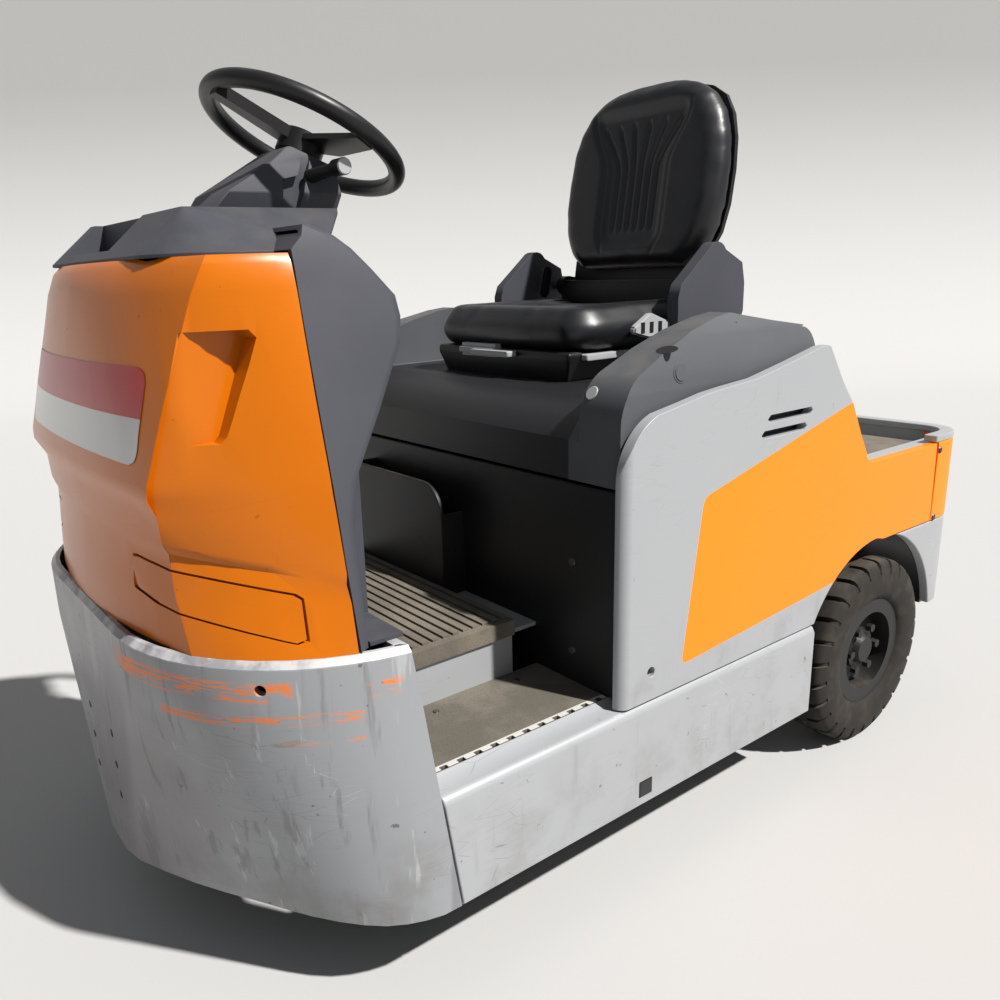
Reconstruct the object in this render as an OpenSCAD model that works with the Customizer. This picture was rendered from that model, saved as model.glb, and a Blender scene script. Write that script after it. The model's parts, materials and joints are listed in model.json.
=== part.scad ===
// Compact three-wheel electric tow tractor with a driver's seat, a step-through footwell and a small rear deck.
// Millimetres. +X is forward, +Y is the driver's left, +Z is up. The origin is on the ground,
// below the middle of the vehicle's length and width.

/* [Overall] */
// Length over the front bumper and the rear rail
overall_l = 1840; // [1760:5:1900]
// Width over the sills
body_w = 996; // [960:2:1040]
// Distance from the rear axle to the rear end
rear_overhang = 362; // [350:2:380]
// Distance from the steered wheel's pivot to the front end
front_overhang = 240; // [235:1:262]
// How far the side panels stand inside the sills
panel_inset = 4; // [2:1:10]
// Gap between fixed panels
seam = 3; // [2:0.5:5]
// Gap round what opens
open_gap = 6; // [5:0.5:8]
// Clearance of a pin in its own bore
pin_fit = 0.05; // [0.02:0.01:0.1]
// Gap under a soft part
soft_gap = 0.3; // [0.2:0.1:1]

/* [Wheels] */
// Radius of the rear tyres
rear_tyre_r = 207; // [200:1:212]
// Width of the rear tyres
rear_tyre_w = 110; // [100:1:115]
// How far the rear tyres stand outside the sills
tyre_stand = 7; // [0:1:10]
// Radius of the front tyre
front_tyre_r = 190; // [180:1:192]
// Width of the front tyre
front_tyre_w = 110; // [100:1:115]
// Radius of the rim flanges
rim_r = 118; // [112:1:124]
// Radius of the wheel stubs
stub_r = 20; // [16:1:24]
// Radius of the steered fork's kingpin
kingpin_r = 25; // [20:1:30]

/* [Chassis] */
// Underside of the chassis
belly_z = 145; // [120:1:160]
// Thickness of the belly plate
belly_t = 15; // [10:1:20]
// Thickness of the chassis side plates
rail_t = 12; // [8:1:16]
// Top of the sills
sill_z = 331; // [315:1:340]
// Thickness of the sills' sheet
sill_t = 10; // [6:1:14]
// Distance of the chassis side plates' outer face inside the sills' face
rail_in = 52; // [44:1:60]
// Top of the steps
step_z = 340; // [334:1:350]
// Thickness of the step plates
step_t = 6; // [4:1:8]
// Half width of the raised floor over the front wheel
floor_half = 270; // [255:1:285]
// Underside of the raised floor's plate
floor_z = 414; // [410:1:420]
// Thickness of the raised floor's plate
floor_t = 8; // [6:1:10]
// Thickness of the floor mat
mat_t = 25; // [15:1:30]

/* [Bumper] */
// Top of the front bumper
bumper_z1 = 575; // [560:1:590]
// Bottom of the front bumper
bumper_z0 = 140; // [130:1:160]
// Thickness of the bumper's wall
bumper_t = 15; // [10:1:18]
// Radius of the bumper's upper corners, seen from above
bumper_corner_r = 330; // [300:5:350]
// Radius of the bolt holes in the bumper's front
front_hole_r = 7; // [5:0.5:9]
// Distance between the two columns of bolt holes
front_hole_dy = 124; // [100:2:150]
// Distance between the rows of bolt holes
front_hole_dz = 55; // [45:1:60]
// Height of the middle row of bolt holes
front_hole_z = 310; // [290:1:340]

/* [Cowl and console] */
// Half width of the cowl at the bumper
cowl_half0 = 480; // [470:1:480]
// Half width of the cowl at its top
cowl_half1 = 368; // [350:1:390]
// Top of the orange cowl
cowl_z1 = 1072; // [1050:1:1090]
// Thickness of the cowl and the console
cowl_t = 6; // [4:1:8]
// Height of the dash above the cowl
dash_rise = 50; // [40:1:60]
// Height of the steering wheel's centre
wheel_z = 1262; // [1240:1:1290]
// Outer radius of the steering wheel
wheel_r = 175; // [165:1:185]
// Radius of the steering wheel's rim section
wheel_grip_r = 14; // [11:0.5:16]
// Tilt of the steering wheel from level
wheel_tilt = 27; // [20:1:32]
// Radius of the steering shaft
shaft_r = 11; // [9:1:14]

/* [Seat and hood] */
// Thickness of the side panels
panel_t = 20; // [12:1:24]
// Height of the seam between the seat box and the hood
hood_z0 = 703; // [690:1:715]
// Height of the hood's top under the seat
hood_z1 = 835; // [825:1:845]
// Thickness of the hood
hood_t = 8; // [5:1:10]
// Half width of the seat cushion
seat_half = 240; // [220:2:250]
// Underside of the seat cushion
cushion_z = 890; // [880:1:900]
// Thickness of the seat cushion
cushion_t = 80; // [60:1:90]
// Height of the backrest above its hinge
back_h = 425; // [400:5:440]
// Tilt of the backrest
back_tilt = 9; // [5:1:12]
// Radius of the backrest's hinge pins
back_pin_r = 8; // [6:1:10]
// Radius of the hood's hinge rod
hood_rod_r = 8; // [6:1:10]

/* [Rear] */
// Top of the rear deck's plate
deck_z = 600; // [590:1:610]
// Thickness of the deck plate
deck_t = 10; // [6:1:12]
// Thickness of the deck mat
deck_mat_t = 20; // [10:1:25]
// Radius of the rear corners, seen from above
rear_corner_r = 90; // [70:5:110]
// Bottom of the orange panels behind the rear wheels
skirt_z1 = 457; // [450:1:465]
// Bottom of the rear skirt
skirt_z0 = 250; // [230:5:270]
// Radius of the wheel arches
arch_r = 260; // [250:1:268]
// Radius of the tow coupling's pin
tow_pin_r = 12.5; // [10:0.5:16]
// Height of the tow coupling's middle plate
tow_z = 330; // [310:5:350]

/* [Hidden] */
half_l = overall_l / 2;
half_w = body_w / 2;
axle_x = -half_l + rear_overhang;
pivot_x = half_l - front_overhang;

// Typed places hold for the real size: places at the front follow the bumper by front_dx, places
// from the seat box to the rear follow the rear axle by rear_dx, and widths follow the body by wide
front_dx = half_l - 920;
rear_dx = axle_x + 558;
wide = half_w / 498;
function ahead(pts) = [for (p = pts) [p[0] + front_dx, p[1]]];
function aback(pts) = [for (p = pts) [p[0] + rear_dx, p[1]]];
panel_y1 = half_w - panel_inset;
panel_y0 = panel_y1 - panel_t;
rail_y1 = half_w - rail_in;
rail_y0 = rail_y1 - rail_t;
belly_z1 = belly_z + belly_t;
tyre_y1 = half_w + tyre_stand;
tyre_y0 = tyre_y1 - rear_tyre_w;
floor_top = floor_z + floor_t;
round_n = 96;
arch_n = 192;

// Footwell and seat box
box_x1 = 215 + rear_dx;
box_t = 25;
panel_x1 = 232 + rear_dx;
panel_x0 = axle_x - 216;
pocket_x1 = 270 + rear_dx;
mat_x0 = 272 + rear_dx;
knee_x = 622;
console_x = knee_x + front_dx;
sill_x0 = -330 + rear_dx;
bulk_x1 = sill_x0;
bulk_t = 12;
bay_half = 262;

// Front bumper: its rear seam leans forward
seam_z = 150;
seam_x = 570 + front_dx;
seam_lean = 0.151;
bumper_mid_z = 480;
bumper_lip = 8;
function seam_at(z) = seam_x + (z - seam_z) * seam_lean;

// Where the orange cowl meets the dark console
split_x = 697;
top_z = cowl_z1 + dash_rise;
dash_x1 = 838;
dash_half = 318 * wide;
knee_half = 370 * wide;
knee_z1 = 824;
ear_z0 = bumper_z1;
cowl_z0 = bumper_z1;
cowl_in = 9;

// Steering wheel and its shaft
wheel_x = 471;
shaft_low = -128;
shaft_top = -10;

// Steered fork
crown_z0 = front_tyre_r * 2 + 8;
crown_t = 16;
fork_gap = 8;
fork_leg_t = 14;
fork_y0 = front_tyre_w / 2 + fork_gap;
fork_y1 = fork_y0 + fork_leg_t;
fork_half_x = 55;
pivot_tube_r = 42;
pivot_plate_z = 420;
pivot_plate_t = 14;
pivot_tube_h = 80;

// Rear frame
spine_y1 = tyre_y0 - 83;
spine_y0 = spine_y1 - 12;
axle_tube_r = 45;
cross_x = -half_l + 108;
cross_t = 14;
pin_x = -half_l + 48;
rear_in_x = -half_l + panel_t;

// Hood hinge and seat
hinge_x = -332 + rear_dx;
hinge_z = 884;
back_x = -322 + rear_dx;
back_z = 1000;
cover_y0 = seat_half + 8;
cover_t = 26;
seat_base_half = 205;
seat_front_x = 78 + rear_dx;
seat_rear_x = -300 + rear_dx;
hood_front_x = box_x1;
hood_rear_x = -316 + rear_dx;

// Shared shapes

function arc(c, r, a0, a1, n) = [for (i = [0:n]) c + r * [cos(a0 + (a1 - a0) * i / n),
    sin(a0 + (a1 - a0) * i / n)]];

function flip_y(pts) = [for (i = [len(pts) - 1:-1:0]) [pts[i][0], -pts[i][1]]];

// A closed form through left halves of its level sections, rear to front, mirrored to the right.
// halves[k][i] is a point of section k, from the lowest section up
module sym_loft(halves) {
    n = len(halves[0]);
    m = len(halves);
    points = [for (h = halves) each concat(h, [for (p = h) [p[0], -p[1], p[2]]])];
    function left(k, i) = k * 2 * n + i;
    function right(k, i) = k * 2 * n + n + i;
    walls = [for (k = [0:m - 2]) each concat(
        [for (i = [0:n - 2]) each [[left(k, i), left(k, i + 1), left(k + 1, i + 1)],
            [left(k, i), left(k + 1, i + 1), left(k + 1, i)],
            [right(k, i + 1), right(k, i), right(k + 1, i + 1)],
            [right(k + 1, i + 1), right(k, i), right(k + 1, i)]]],
        [[left(k, n - 1), right(k, n - 1), right(k + 1, n - 1)],
            [left(k, n - 1), right(k + 1, n - 1), left(k + 1, n - 1)],
            [right(k, 0), left(k, 0), left(k + 1, 0)],
            [right(k, 0), left(k + 1, 0), right(k + 1, 0)]])];
    caps = [for (i = [0:n - 2]) each [[left(m - 1, i), left(m - 1, i + 1), right(m - 1, i + 1),
        right(m - 1, i)], [right(0, i), right(0, i + 1), left(0, i + 1), left(0, i)]]];
    polyhedron(points = points, faces = concat(walls, caps));
}

module at_front() {
    translate([front_dx, 0, 0]) children();
}

module both_sides() {
    children();
    mirror([0, 1, 0]) children();
}

// An outline in X and Z, made solid from y0 to y1
module slab_y(y0, y1) {
    translate([0, y1, 0]) rotate([90, 0, 0]) linear_extrude(y1 - y0) children();
}

// An outline in Y and Z, made solid from x0 to x1
module slab_x(x0, x1) {
    translate([x0, 0, 0]) rotate([90, 0, 90]) linear_extrude(x1 - x0) children();
}

module box(x0, x1, y0, y1, z0, z1) {
    translate([x0, y0, z0]) cube([x1 - x0, y1 - y0, z1 - z0]);
}

module rod_y(x, z, r, y0, y1, n = 48) {
    translate([x, y1, z]) rotate([90, 0, 0]) cylinder(r = r, h = y1 - y0, $fn = n);
}

// Everything behind the bumper's leaning seam, moved forward by d
module behind_seam(d) {
    slab_y(-half_w - 50, half_w + 50)
        polygon([[-half_l - 50, 0], [seam_at(0) + d, 0], [seam_at(700) + d, 700],
            [-half_l - 50, 700]]);
}

// Chassis

module side_rail() {
    box(bulk_x1, 670 + front_dx, rail_y0, rail_y1, belly_z, step_z - step_t);
    box(console_x, 700 + front_dx, rail_y0, rail_y1, step_z - step_t - 1, pivot_plate_z + pivot_plate_t);
}

module belly() {
    difference() {
        box(bulk_x1, 600 + front_dx, -rail_y0, rail_y0, belly_z, belly_z1);
        box(430 + front_dx, 650 + front_dx, -bay_half, bay_half, belly_z - 1, belly_z1 + 1);
    }
}

module pivot_mount() {
    difference() {
        union() {
            box(console_x, 740 + front_dx, -rail_y0, rail_y0, pivot_plate_z, pivot_plate_z + pivot_plate_t);
            translate([pivot_x, 0, pivot_plate_z])
                cylinder(r = pivot_tube_r, h = pivot_tube_h, $fn = round_n);
        }
        translate([pivot_x, 0, pivot_plate_z - 1])
            cylinder(r = kingpin_r + pin_fit, h = pivot_tube_h + 2, $fn = round_n);
    }
}

module spine() {
    difference() {
        union() {
            box(rear_in_x, bulk_x1 - bulk_t, spine_y0, spine_y1, 300, deck_z - deck_t);
            box(axle_x - 80, axle_x + 80, spine_y0, spine_y1, rear_tyre_r - axle_tube_r - 16, 301);
        }
        rod_y(axle_x, rear_tyre_r, axle_tube_r + pin_fit, spine_y0 - 1, spine_y1 + 1, round_n);
    }
}

module chassis_frame() {
    color("#2b2d30") {
        both_sides() side_rail();
        belly();
        pivot_mount();
        box(bulk_x1 - bulk_t, bulk_x1, -rail_y1, rail_y1, belly_z, deck_z - deck_t);
        both_sides() spine();
        box(cross_x, cross_x + cross_t, -spine_y0, spine_y0, 260, deck_z - deck_t);
    }
}

// Bumper

function bumper_corner() = arc([half_l - bumper_corner_r, half_w - bumper_corner_r],
    bumper_corner_r, 80.5, 0, 13);

function corner_y(x) = half_w - bumper_corner_r
    + sqrt(pow(bumper_corner_r, 2) - pow(max(0, x - half_l + bumper_corner_r), 2));

// Half of the bumper's outline at its foot, from the side to the front
foot_half = [for (p = [[600, 495], [626, 488], [652, 477], [678, 461], [703, 438], [728, 409],
    [752, 376], [777, 336], [803, 292], [832, 245], [862, 192], [889, 135], [911, 84], [920, 40]])
    [p[0] + front_dx, p[1] * wide]];

function inset(pts, d) = [for (i = [0:len(pts) - 1]) let (a = pts[max(i - 1, 0)],
    b = pts[min(i + 1, len(pts) - 1)], t = (b - a) / norm(b - a)) pts[i] + d * [t[1], -t[0]]];

function bumper_top_outline(d) = let (half = inset(concat(ahead([[500, half_w], [590, half_w]]), bumper_corner()), d))
    concat(half, flip_y(half));

// Half of the bumper's outline at a height, from its rear seam to the front, moved inwards by d
function bumper_half(z, d) = let (t = min(1, (z - bumper_z0) / (bumper_mid_z - bumper_z0)),
    corner = bumper_corner()) inset(concat([[seam_at(z), corner_y(seam_at(z)) - 2 * (1 - t)]],
    [for (i = [0:13]) foot_half[i] * (1 - t) + corner[i] * t]), d);

// The bumper's wall at a height, with the flange along each rear seam
function bumper_ring(z, d) = let (outer = bumper_half(z, d), wall = bumper_half(z, bumper_t),
    x = seam_at(z), inner = concat([[x, rail_y1], [x + bumper_t, rail_y1], [x + bumper_t,
    wall[0][1]]], [for (i = [1:14]) wall[i]])) concat(outer, flip_y(outer),
    [for (p = inner) [p[0], -p[1]]], [for (i = [len(inner) - 1:-1:0]) inner[i]]);

// Faces across the wall's top, numbered round the ring: 15 points on each outer half, 17 on each inner
function wall_cap() = concat([for (i = [1:13]) [i, i + 1, 60 - i, 61 - i]],
    [[0, 1, 60, 61], [0, 61, 62, 63], [32, 33, 28, 29], [30, 31, 32, 29], [14, 15, 46, 47]],
    [for (i = [1:13]) [32 + i, 33 + i, 28 - i, 29 - i]]);

module bumper_wall() {
    heights = [bumper_z0, bumper_mid_z, bumper_z1 - bumper_lip, bumper_z1];
    rings = [for (i = [0:3]) [for (p = bumper_ring(heights[i], i == 3 ? bumper_lip : 0))
        [p[0], p[1], heights[i]]]];
    n = len(rings[0]);
    polyhedron(
        points = [for (ring = rings, p = ring) p],
        faces = concat([for (f = wall_cap()) 3 * [n, n, n, n] + f],
            [for (f = wall_cap()) [f[3], f[2], f[1], f[0]]],
            [for (k = [0:2], i = [0:n - 1]) [k * n + i, k * n + (i + 1) % n,
                (k + 1) * n + (i + 1) % n]],
            [for (k = [0:2], i = [0:n - 1]) [k * n + i, (k + 1) * n + (i + 1) % n,
                (k + 1) * n + i]]));
}

module front_holes() {
    for (side = [-1, 1], row = [-1, 0, 1])
        translate([half_l - 40, side * front_hole_dy / 2, front_hole_z + row * front_hole_dz])
            rotate([0, 90, 0]) cylinder(r = front_hole_r, h = 60, $fn = 32);
}

module front_bumper() {
    color("#9a9ea5") difference() {
        bumper_wall();
        front_holes();
        both_sides() translate([812 + front_dx, half_w - 85, 538]) rotate([0, 90, 48])
            cylinder(r = 8, h = 60, center = true, $fn = 32);
    }
}

// Sills and steps

module sill() {
    difference() {
        slab_x(sill_x0, 640 + front_dx) polygon([[rail_y1, belly_z - 8], [half_w - 6, belly_z - 8],
            [half_w, belly_z - 2], [half_w, sill_z - 14], [half_w - 5, sill_z - 4],
            [half_w - 12, sill_z], [rail_y1 + 16, sill_z], [rail_y1, step_z],
            [rail_y1, sill_z - 8], [rail_y1 + 14, sill_z - 12], [half_w - sill_t - 4, sill_z - 12],
            [half_w - sill_t, sill_z - 18], [half_w - sill_t, belly_z + 2],
            [rail_y1, belly_z + 2]]);
        translate([-seam, 0, 0]) difference() {
            box(450 + front_dx, 700 + front_dx, 0, half_w + 10, 0, 500);
            behind_seam(0);
        }
    }
}

module sill_left() {
    color("#9a9ea5") sill();
}

module sill_right() {
    color("#9a9ea5") mirror([0, 1, 0]) sill();
}

module step() {
    teeth = 11;
    pitch = (570 + front_dx - box_x1) / teeth;
    difference() {
        box(box_x1, 590 + front_dx, floor_half, rail_y1, step_z - step_t, step_z);
        behind_front_step();
        for (i = [0:teeth - 1])
            box(box_x1 + (i + 0.3) * pitch, box_x1 + (i + 0.7) * pitch, rail_y1 - 8, rail_y1 + 1,
                step_z - step_t - 1, step_z + 1);
    }
}

module behind_front_step() {
    translate([-seam, 0, 0]) difference() {
        box(400 + front_dx, 700 + front_dx, 0, half_w, 0, 500);
        behind_seam(0);
    }
}

module step_left() {
    color("#6d6a62") step();
}

module step_right() {
    color("#6d6a62") mirror([0, 1, 0]) step();
}

module floor_platform() {
    color("#a3a6ab") {
        box(box_x1, console_x, -floor_half, floor_half, floor_z, floor_top);
        both_sides() box(mat_x0, console_x, floor_half - floor_t, floor_half, belly_z1, floor_z);
        box(mat_x0, mat_x0 + floor_t, -floor_half + floor_t, floor_half - floor_t, belly_z1, floor_z);
    }
}

module floor_mat() {
    ribs = 16;
    lip = 6;
    pitch = (console_x - mat_x0 - 10) / ribs;
    color("#57534c") {
        box(mat_x0, console_x, -floor_half, floor_half, floor_top, floor_top + mat_t - 4);
        both_sides() box(mat_x0, 600 + front_dx, floor_half, floor_half + lip, floor_top - 8, floor_top + mat_t - 4);
        for (i = [0:ribs - 1])
            box(mat_x0 + 5 + i * pitch, mat_x0 + 5 + (i + 0.6) * pitch, -floor_half + 10,
                floor_half - 10, floor_top + mat_t - 4, floor_top + mat_t);
    }
}

// Cowl and console: one tapered form, split where the colours meet

function cowl_outline(x0, x1, half, r) = let (c = [x1 - r, half - r],
    h = concat([[x0, half]], arc(c, r, 90, 0, 8))) concat(h, flip_y(h));

// Level sections of the cowl: height at the rear edge, height at the front, front x, the visor's
// edge x and y, how far the visor stands out there, the side's bulge, y of the rear edge
cowl_rows = [
    [cowl_z0, cowl_z0, 911, 866, 332, 0, 18, 470],
    [640, 650, 904, 869, 306, 0, 10, 460],
    [664, 706, 897, 868, 298, 0, 6, 450],
    [678, 722, 903, 876, 302, 0, 6, 453],
    [752, 757, 899, 878, 300, 1, 5, 438],
    [778, 782, 908, 892, 315, 14, 4, 432],
    [800, 800, 908, 891, 317, 15, 4, 428],
    [900, 900, 896, 862, 331, 13, 4, 405],
    [cowl_z1 - 44, cowl_z1 - 44, 873, 818, 345, 4, 4, 379],
    [cowl_z1 - 12, cowl_z1 - 12, 861, 802, 346, 0, 4, 370],
    [cowl_z1, cowl_z1, 849, 792, 338, 0, 4, 362]];

// Least step at the visor's edge
fold = 0.8;

function side_line(a, b, bulge) = let (u = (b - a) / norm(b - a)) [for (j = [0:5])
    let (t = j / 5) a + (b - a) * t + bulge * 4 * t * (1 - t) * [-u[1], u[0]]];

function visor_line(front, edge) = [for (j = [0:5]) let (y = j == 5 ? 8 : edge[1] * (1 - j / 5))
    [front - (front - edge[0]) * pow(y / edge[1], 2.2), y]];

function level(row, p) = [p[0], p[1] * wide, row[0] + (row[1] - row[0])
    * min(1, max(0, (p[0] - split_x) / (row[3] - split_x)))];

// Left half of one section of the cowl
function cowl_half(row) = let (edge = [row[3], row[4]], foot = edge - max(row[5], fold) * [0.35, 0.94])
    [for (p = concat(side_line([split_x, row[7]], foot, row[6]), visor_line(row[2], edge))) level(row, p)];

module cowl_form() {
    sym_loft([for (row = cowl_rows) cowl_half(row)]);
}

// The same section inside the cowl's wall, d deep, with its corner a step further in
function core_half(row, d, step) = let (rear = [split_x, row[7] - d],
    foot = [row[3] - step / 3 - d, row[4] - step - d], front = row[2] - d - step / 2)
    [for (p = [rear - [20, 0], (rear + foot) / 2 + [0, row[6] * 0.95], foot,
    [front - (front - foot[0]) / 4, foot[1] / 2], [front, 8]]) level(row, p)];

// The cowl's inside, open below and behind
module cowl_inside() {
    last = len(cowl_rows) - 1;
    sym_loft([for (k = [0:last]) let (lift = k == 0 ? -20 : k == last ? -cowl_t : k == last - 1 ?
        -cowl_t / 2 : 0) [for (p = core_half(cowl_rows[k], cowl_t, 14)) p + [0, 0, lift]]]);
}

module niche(d) {
    both_sides() slab_y(334 * wide - d, 470 * wide) polygon([[806 - d, 848 - d], [868 + d, 848 - d],
        [876 + d, 858], [860 + d, 976], [852 + d, 984 + d], [760 - d, 984 + d], [752 - d, 974],
        [798 - d, 856]]);
}

// A shallow line round the plate low on each side of the cowl
module plate_line() {
    outer = [[748, 596], [745, 650], [752, 656], [884, 690], [892, 684], [890, 640], [880, 630], [760, 592]];
    inner = [[751, 599], [748, 648], [754, 653], [883, 686], [889, 682], [887, 642], [878, 633], [762, 595]];
    both_sides() difference() {
        slab_y(200 * wide, 500 * wide) polygon(outer);
        slab_y(199 * wide, 501 * wide) polygon(inner);
        sym_loft([for (row = cowl_rows) core_half(row, 3, 2)]);
    }
}

module front_cowl() {
    color("#f08c14") at_front() difference() {
        union() {
            difference() {
                cowl_form();
                cowl_inside();
            }
            intersection() {
                cowl_form();
                niche(cowl_t);
            }
        }
        niche(0);
        plate_line();
        translate([0, 0, cowl_z1 - 30]) linear_extrude(60)
            polygon(cowl_outline(split_x - 1, dash_x1 - 8, dash_half - 8, 102));
    }
}

// Level sections of the console: height, rear x, half width, front x
console_front = split_x - seam;
console_rows = [
    [ear_z0, 671, 472, console_front], [685, 665, 449, console_front], [737, 662, 439, console_front],
    [786, 649, 429, console_front], [873, 593, 409, console_front], [955, 545, 391, console_front],
    [988, 538, 384, console_front], [1015, 541, 378, console_front], [1050, 572, 372, console_front],
    [cowl_z1 + 4, 597, 366, console_front], [1092, 618, 361, 676], [top_z - 16, 648, 352, 664]];

function console_half(row, d) = let (y = row[2] * wide - d, x = row[1] + d)
    [[x, y - 24, row[0]], [x + 7, y - 10, row[0]], [x + 20, y - 3, row[0]],
    [max(x + 21, row[3] - (d > 0 && row[3] < console_front ? d : 0) + (d > 0 &&
    row[3] == console_front ? 10 : 0)), y, row[0]]];

module console_form() {
    sym_loft([for (row = console_rows) console_half(row, 0)]);
}

module console_inside() {
    last = len(console_rows) - 1;
    sym_loft([for (k = [0:last]) let (lift = k == 0 ? -8 : k > 6 ? -cowl_t : 0,
        half = console_half(console_rows[k], cowl_t + 1)) [for (p = half) p + [0, 0, lift]]]);
}

// Panel in front of the driver's knees with its side plates and shelves
module knee_panel() {
    box(knee_x, knee_x + cowl_t, -knee_half, knee_half, ear_z0 - 1, knee_z1);
    box(knee_x, knee_x + cowl_t, 2 - rail_y1, rail_y1 - 2, pivot_plate_z + pivot_plate_t, ear_z0);
    both_sides() {
        slab_y(knee_half - cowl_t, knee_half) polygon([[knee_x, ear_z0 - 1], [674, ear_z0 - 1],
            [670, 680], [666, 737], [652, 786], [knee_x + 4, knee_z1 + 4], [knee_x, knee_z1]]);
        box(knee_x, 674, knee_half - cowl_t, 460 * wide, ear_z0, ear_z0 + cowl_t);
    }
}

module dash_solid(d) {
    hull() {
        translate([0, 0, cowl_z1 - 2 * d]) linear_extrude(4)
            polygon(cowl_outline(620, dash_x1 - d, dash_half - d, 110 - d));
        box(540 + d, 770 - d, d - 215 * wide, 215 * wide - d, top_z + 6 - d, top_z + 14 - d);
    }
}

module dash() {
    bowl = [756, 824, -190 * wide, 60];
    difference() {
        union() {
            difference() {
                dash_solid(0);
                dash_solid(cowl_t);
            }
            intersection() {
                dash_solid(0);
                box(bowl[0] - cowl_t, bowl[1] + cowl_t, bowl[2] - cowl_t, bowl[3] + cowl_t, cowl_z1 + 1,
                    top_z + 20);
            }
        }
        box(bowl[0], bowl[1], bowl[2], bowl[3], cowl_z1 + 8, top_z + 40);
    }
}

module console_shell() {
    color("#4a4d55") at_front() {
        difference() {
            console_form();
            console_inside();
        }
        knee_panel();
        dash();
    }
}

module column_form(d) {
    hull() {
        box(456 + d, 668 - d, -58 + d, 58 - d, top_z + 14, top_z + 16);
        box(448 + d, 640 - d, -70 + d, 70 - d, 1168, 1172);
        box(452 + d, 566 - d, -60 + d, 60 - d, 1208, 1212);
        translate([520, 0, 1222]) rotate([90, 0, 0])
            cylinder(r = 20 - d, h = 84, center = true, $fn = 24);
    }
}

module column_housing() {
    color("#4a4d55") at_front() difference() {
        column_form(0);
        both_sides() slab_y(52, 80) polygon([[528, top_z + 10], [556, top_z + 10], [548, 1190],
            [520, 1196], [500, 1240], [486, 1240], [512, 1180]]);
        at_wheel() translate([0, 0, shaft_low]) cylinder(r = shaft_r + pin_fit, h = 160, $fn = 48);
    }
}

module stalk(side, reach, tip_r, tip_l) {
    base = [508, side * 40, 1192];
    tip = base + [-30, side * reach, 12];
    hull() {
        translate(base) rotate([side * -90, 0, 0]) cylinder(r = 12, h = 2, $fn = 32);
        translate(tip) rotate([side * -90, 0, 0]) cylinder(r = 9, h = 2, $fn = 32);
    }
    translate(tip) rotate([side * -90, 0, 0]) cylinder(r = tip_r, h = tip_l, $fn = 32);
}

module stalks() {
    color("#26272a") at_front() difference() {
        union() {
            stalk(1, 70, 13, 26);
            stalk(-1, 60, 12, 20);
        }
        column_form(0);
    }
}

module pedals() {
    color("#1e1f21") for (y = [-150, 10]) {
        translate([console_x - 95, y, floor_top + mat_t]) rotate([0, 38, 0]) box(0, 12, 0, 80, 14, 110);
        box(console_x - 50, console_x, y + 30, y + 50, floor_top + mat_t + 40, floor_top + mat_t + 56);
    }
}

// Steering wheel and shaft

module at_wheel() {
    translate([wheel_x, 0, wheel_z]) rotate([0, -wheel_tilt, 0]) children();
}

module steering_wheel() {
    rim_c = wheel_r - wheel_grip_r;
    color("#1a1b1e") at_front() at_wheel() difference() {
        union() {
            rotate_extrude($fn = round_n) translate([rim_c, 0]) circle(r = wheel_grip_r, $fn = 24);
            translate([0, 0, -20]) linear_extrude(18)
                polygon([[20, -19], [rim_c - 2, -13], [rim_c - 2, 13], [20, 19]]);
            for (side = [-1, 1]) translate([0, 0, -16]) linear_extrude(9)
                polygon([[20, side * 24], [-14, side * (rim_c - 2)], [-46, side * (rim_c - 8)],
                    [-44, side * 60], [-26, side * 20]]);
            translate([0, 0, -34]) cylinder(r = 38, h = 34, $fn = 48);
        }
        translate([0, 0, -35]) cylinder(r = shaft_r + pin_fit, h = 35 + shaft_top, $fn = 48);
    }
}

module steering_shaft() {
    color("#35373b") at_front() at_wheel() translate([0, 0, shaft_low + 1])
        cylinder(r = shaft_r, h = shaft_top - shaft_low - 1, $fn = 48);
}

// Side panels and the seat box

function panel_outline() = concat(
    [[panel_x1, sill_z + seam], [panel_x1, 700]],
    arc([panel_x1 - 108, 716], 108, 0, 72, 10),
    aback([[92, 829], [40, 838], [-10, 843], [-90, 849], [-190, 868], [-285, 888]]),
    arc([-303 + rear_dx, 872], 17, 72, 155, 5),
    aback([[-364, 818], [-409, 768], [-446, 706]]),
    arc([-508 + rear_dx, 672], 34, -18, -86, 6),
    [[panel_x0, 638], [panel_x0 - 6, skirt_z1 + seam], [axle_x - 20, skirt_z1 + seam]],
    arc([axle_x, rear_tyre_r], arch_r, 88, asin((sill_z + seam - rear_tyre_r) / arch_r), 20));

module side_panel() {
    difference() {
        intersection() {
            slab_y(panel_y0, panel_y1) polygon(panel_outline());
            linear_extrude(1000) polygon(concat([[-half_l, panel_y0], [panel_x1, panel_y0]],
                arc([panel_x1 - panel_t, panel_y1 - panel_t], panel_t, 0, 90, 6), [[-half_l, panel_y1]]));
        }
        slab_y(panel_y0 - 1, panel_y1 + 1) polygon(aback([[-262, 768], [-138, 768], [-130, 774],
            [-138, 781], [-262, 781], [-268, 774]]));
        slab_y(panel_y0 - 1, panel_y1 + 1) polygon(aback([[-246, 741], [-122, 741], [-114, 747],
            [-122, 754], [-246, 754], [-252, 747]]));
        rod_y(160 + rear_dx, 385, 9, panel_y0 - 1, panel_y1 + 1, 32);
    }
}

module side_panel_left() {
    color("#f59a1c") side_panel();
}

module side_panel_right() {
    color("#f59a1c") mirror([0, 1, 0]) side_panel();
}

module seat_box_front() {
    color("#3b3d44") difference() {
        box(box_x1 - box_t, box_x1, -panel_y0, panel_y0, belly_z1, hood_z0 - open_gap);
        for (side = [-1, 1]) translate([0, side * (rail_y0 + panel_y0) / 2, 0])
            box(box_x1 - 200, box_x1 + 200, -(panel_y0 - rail_y0) / 2 - 0.01, (panel_y0 - rail_y0) / 2 + 0.01, 0, step_z);
    }
}

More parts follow.
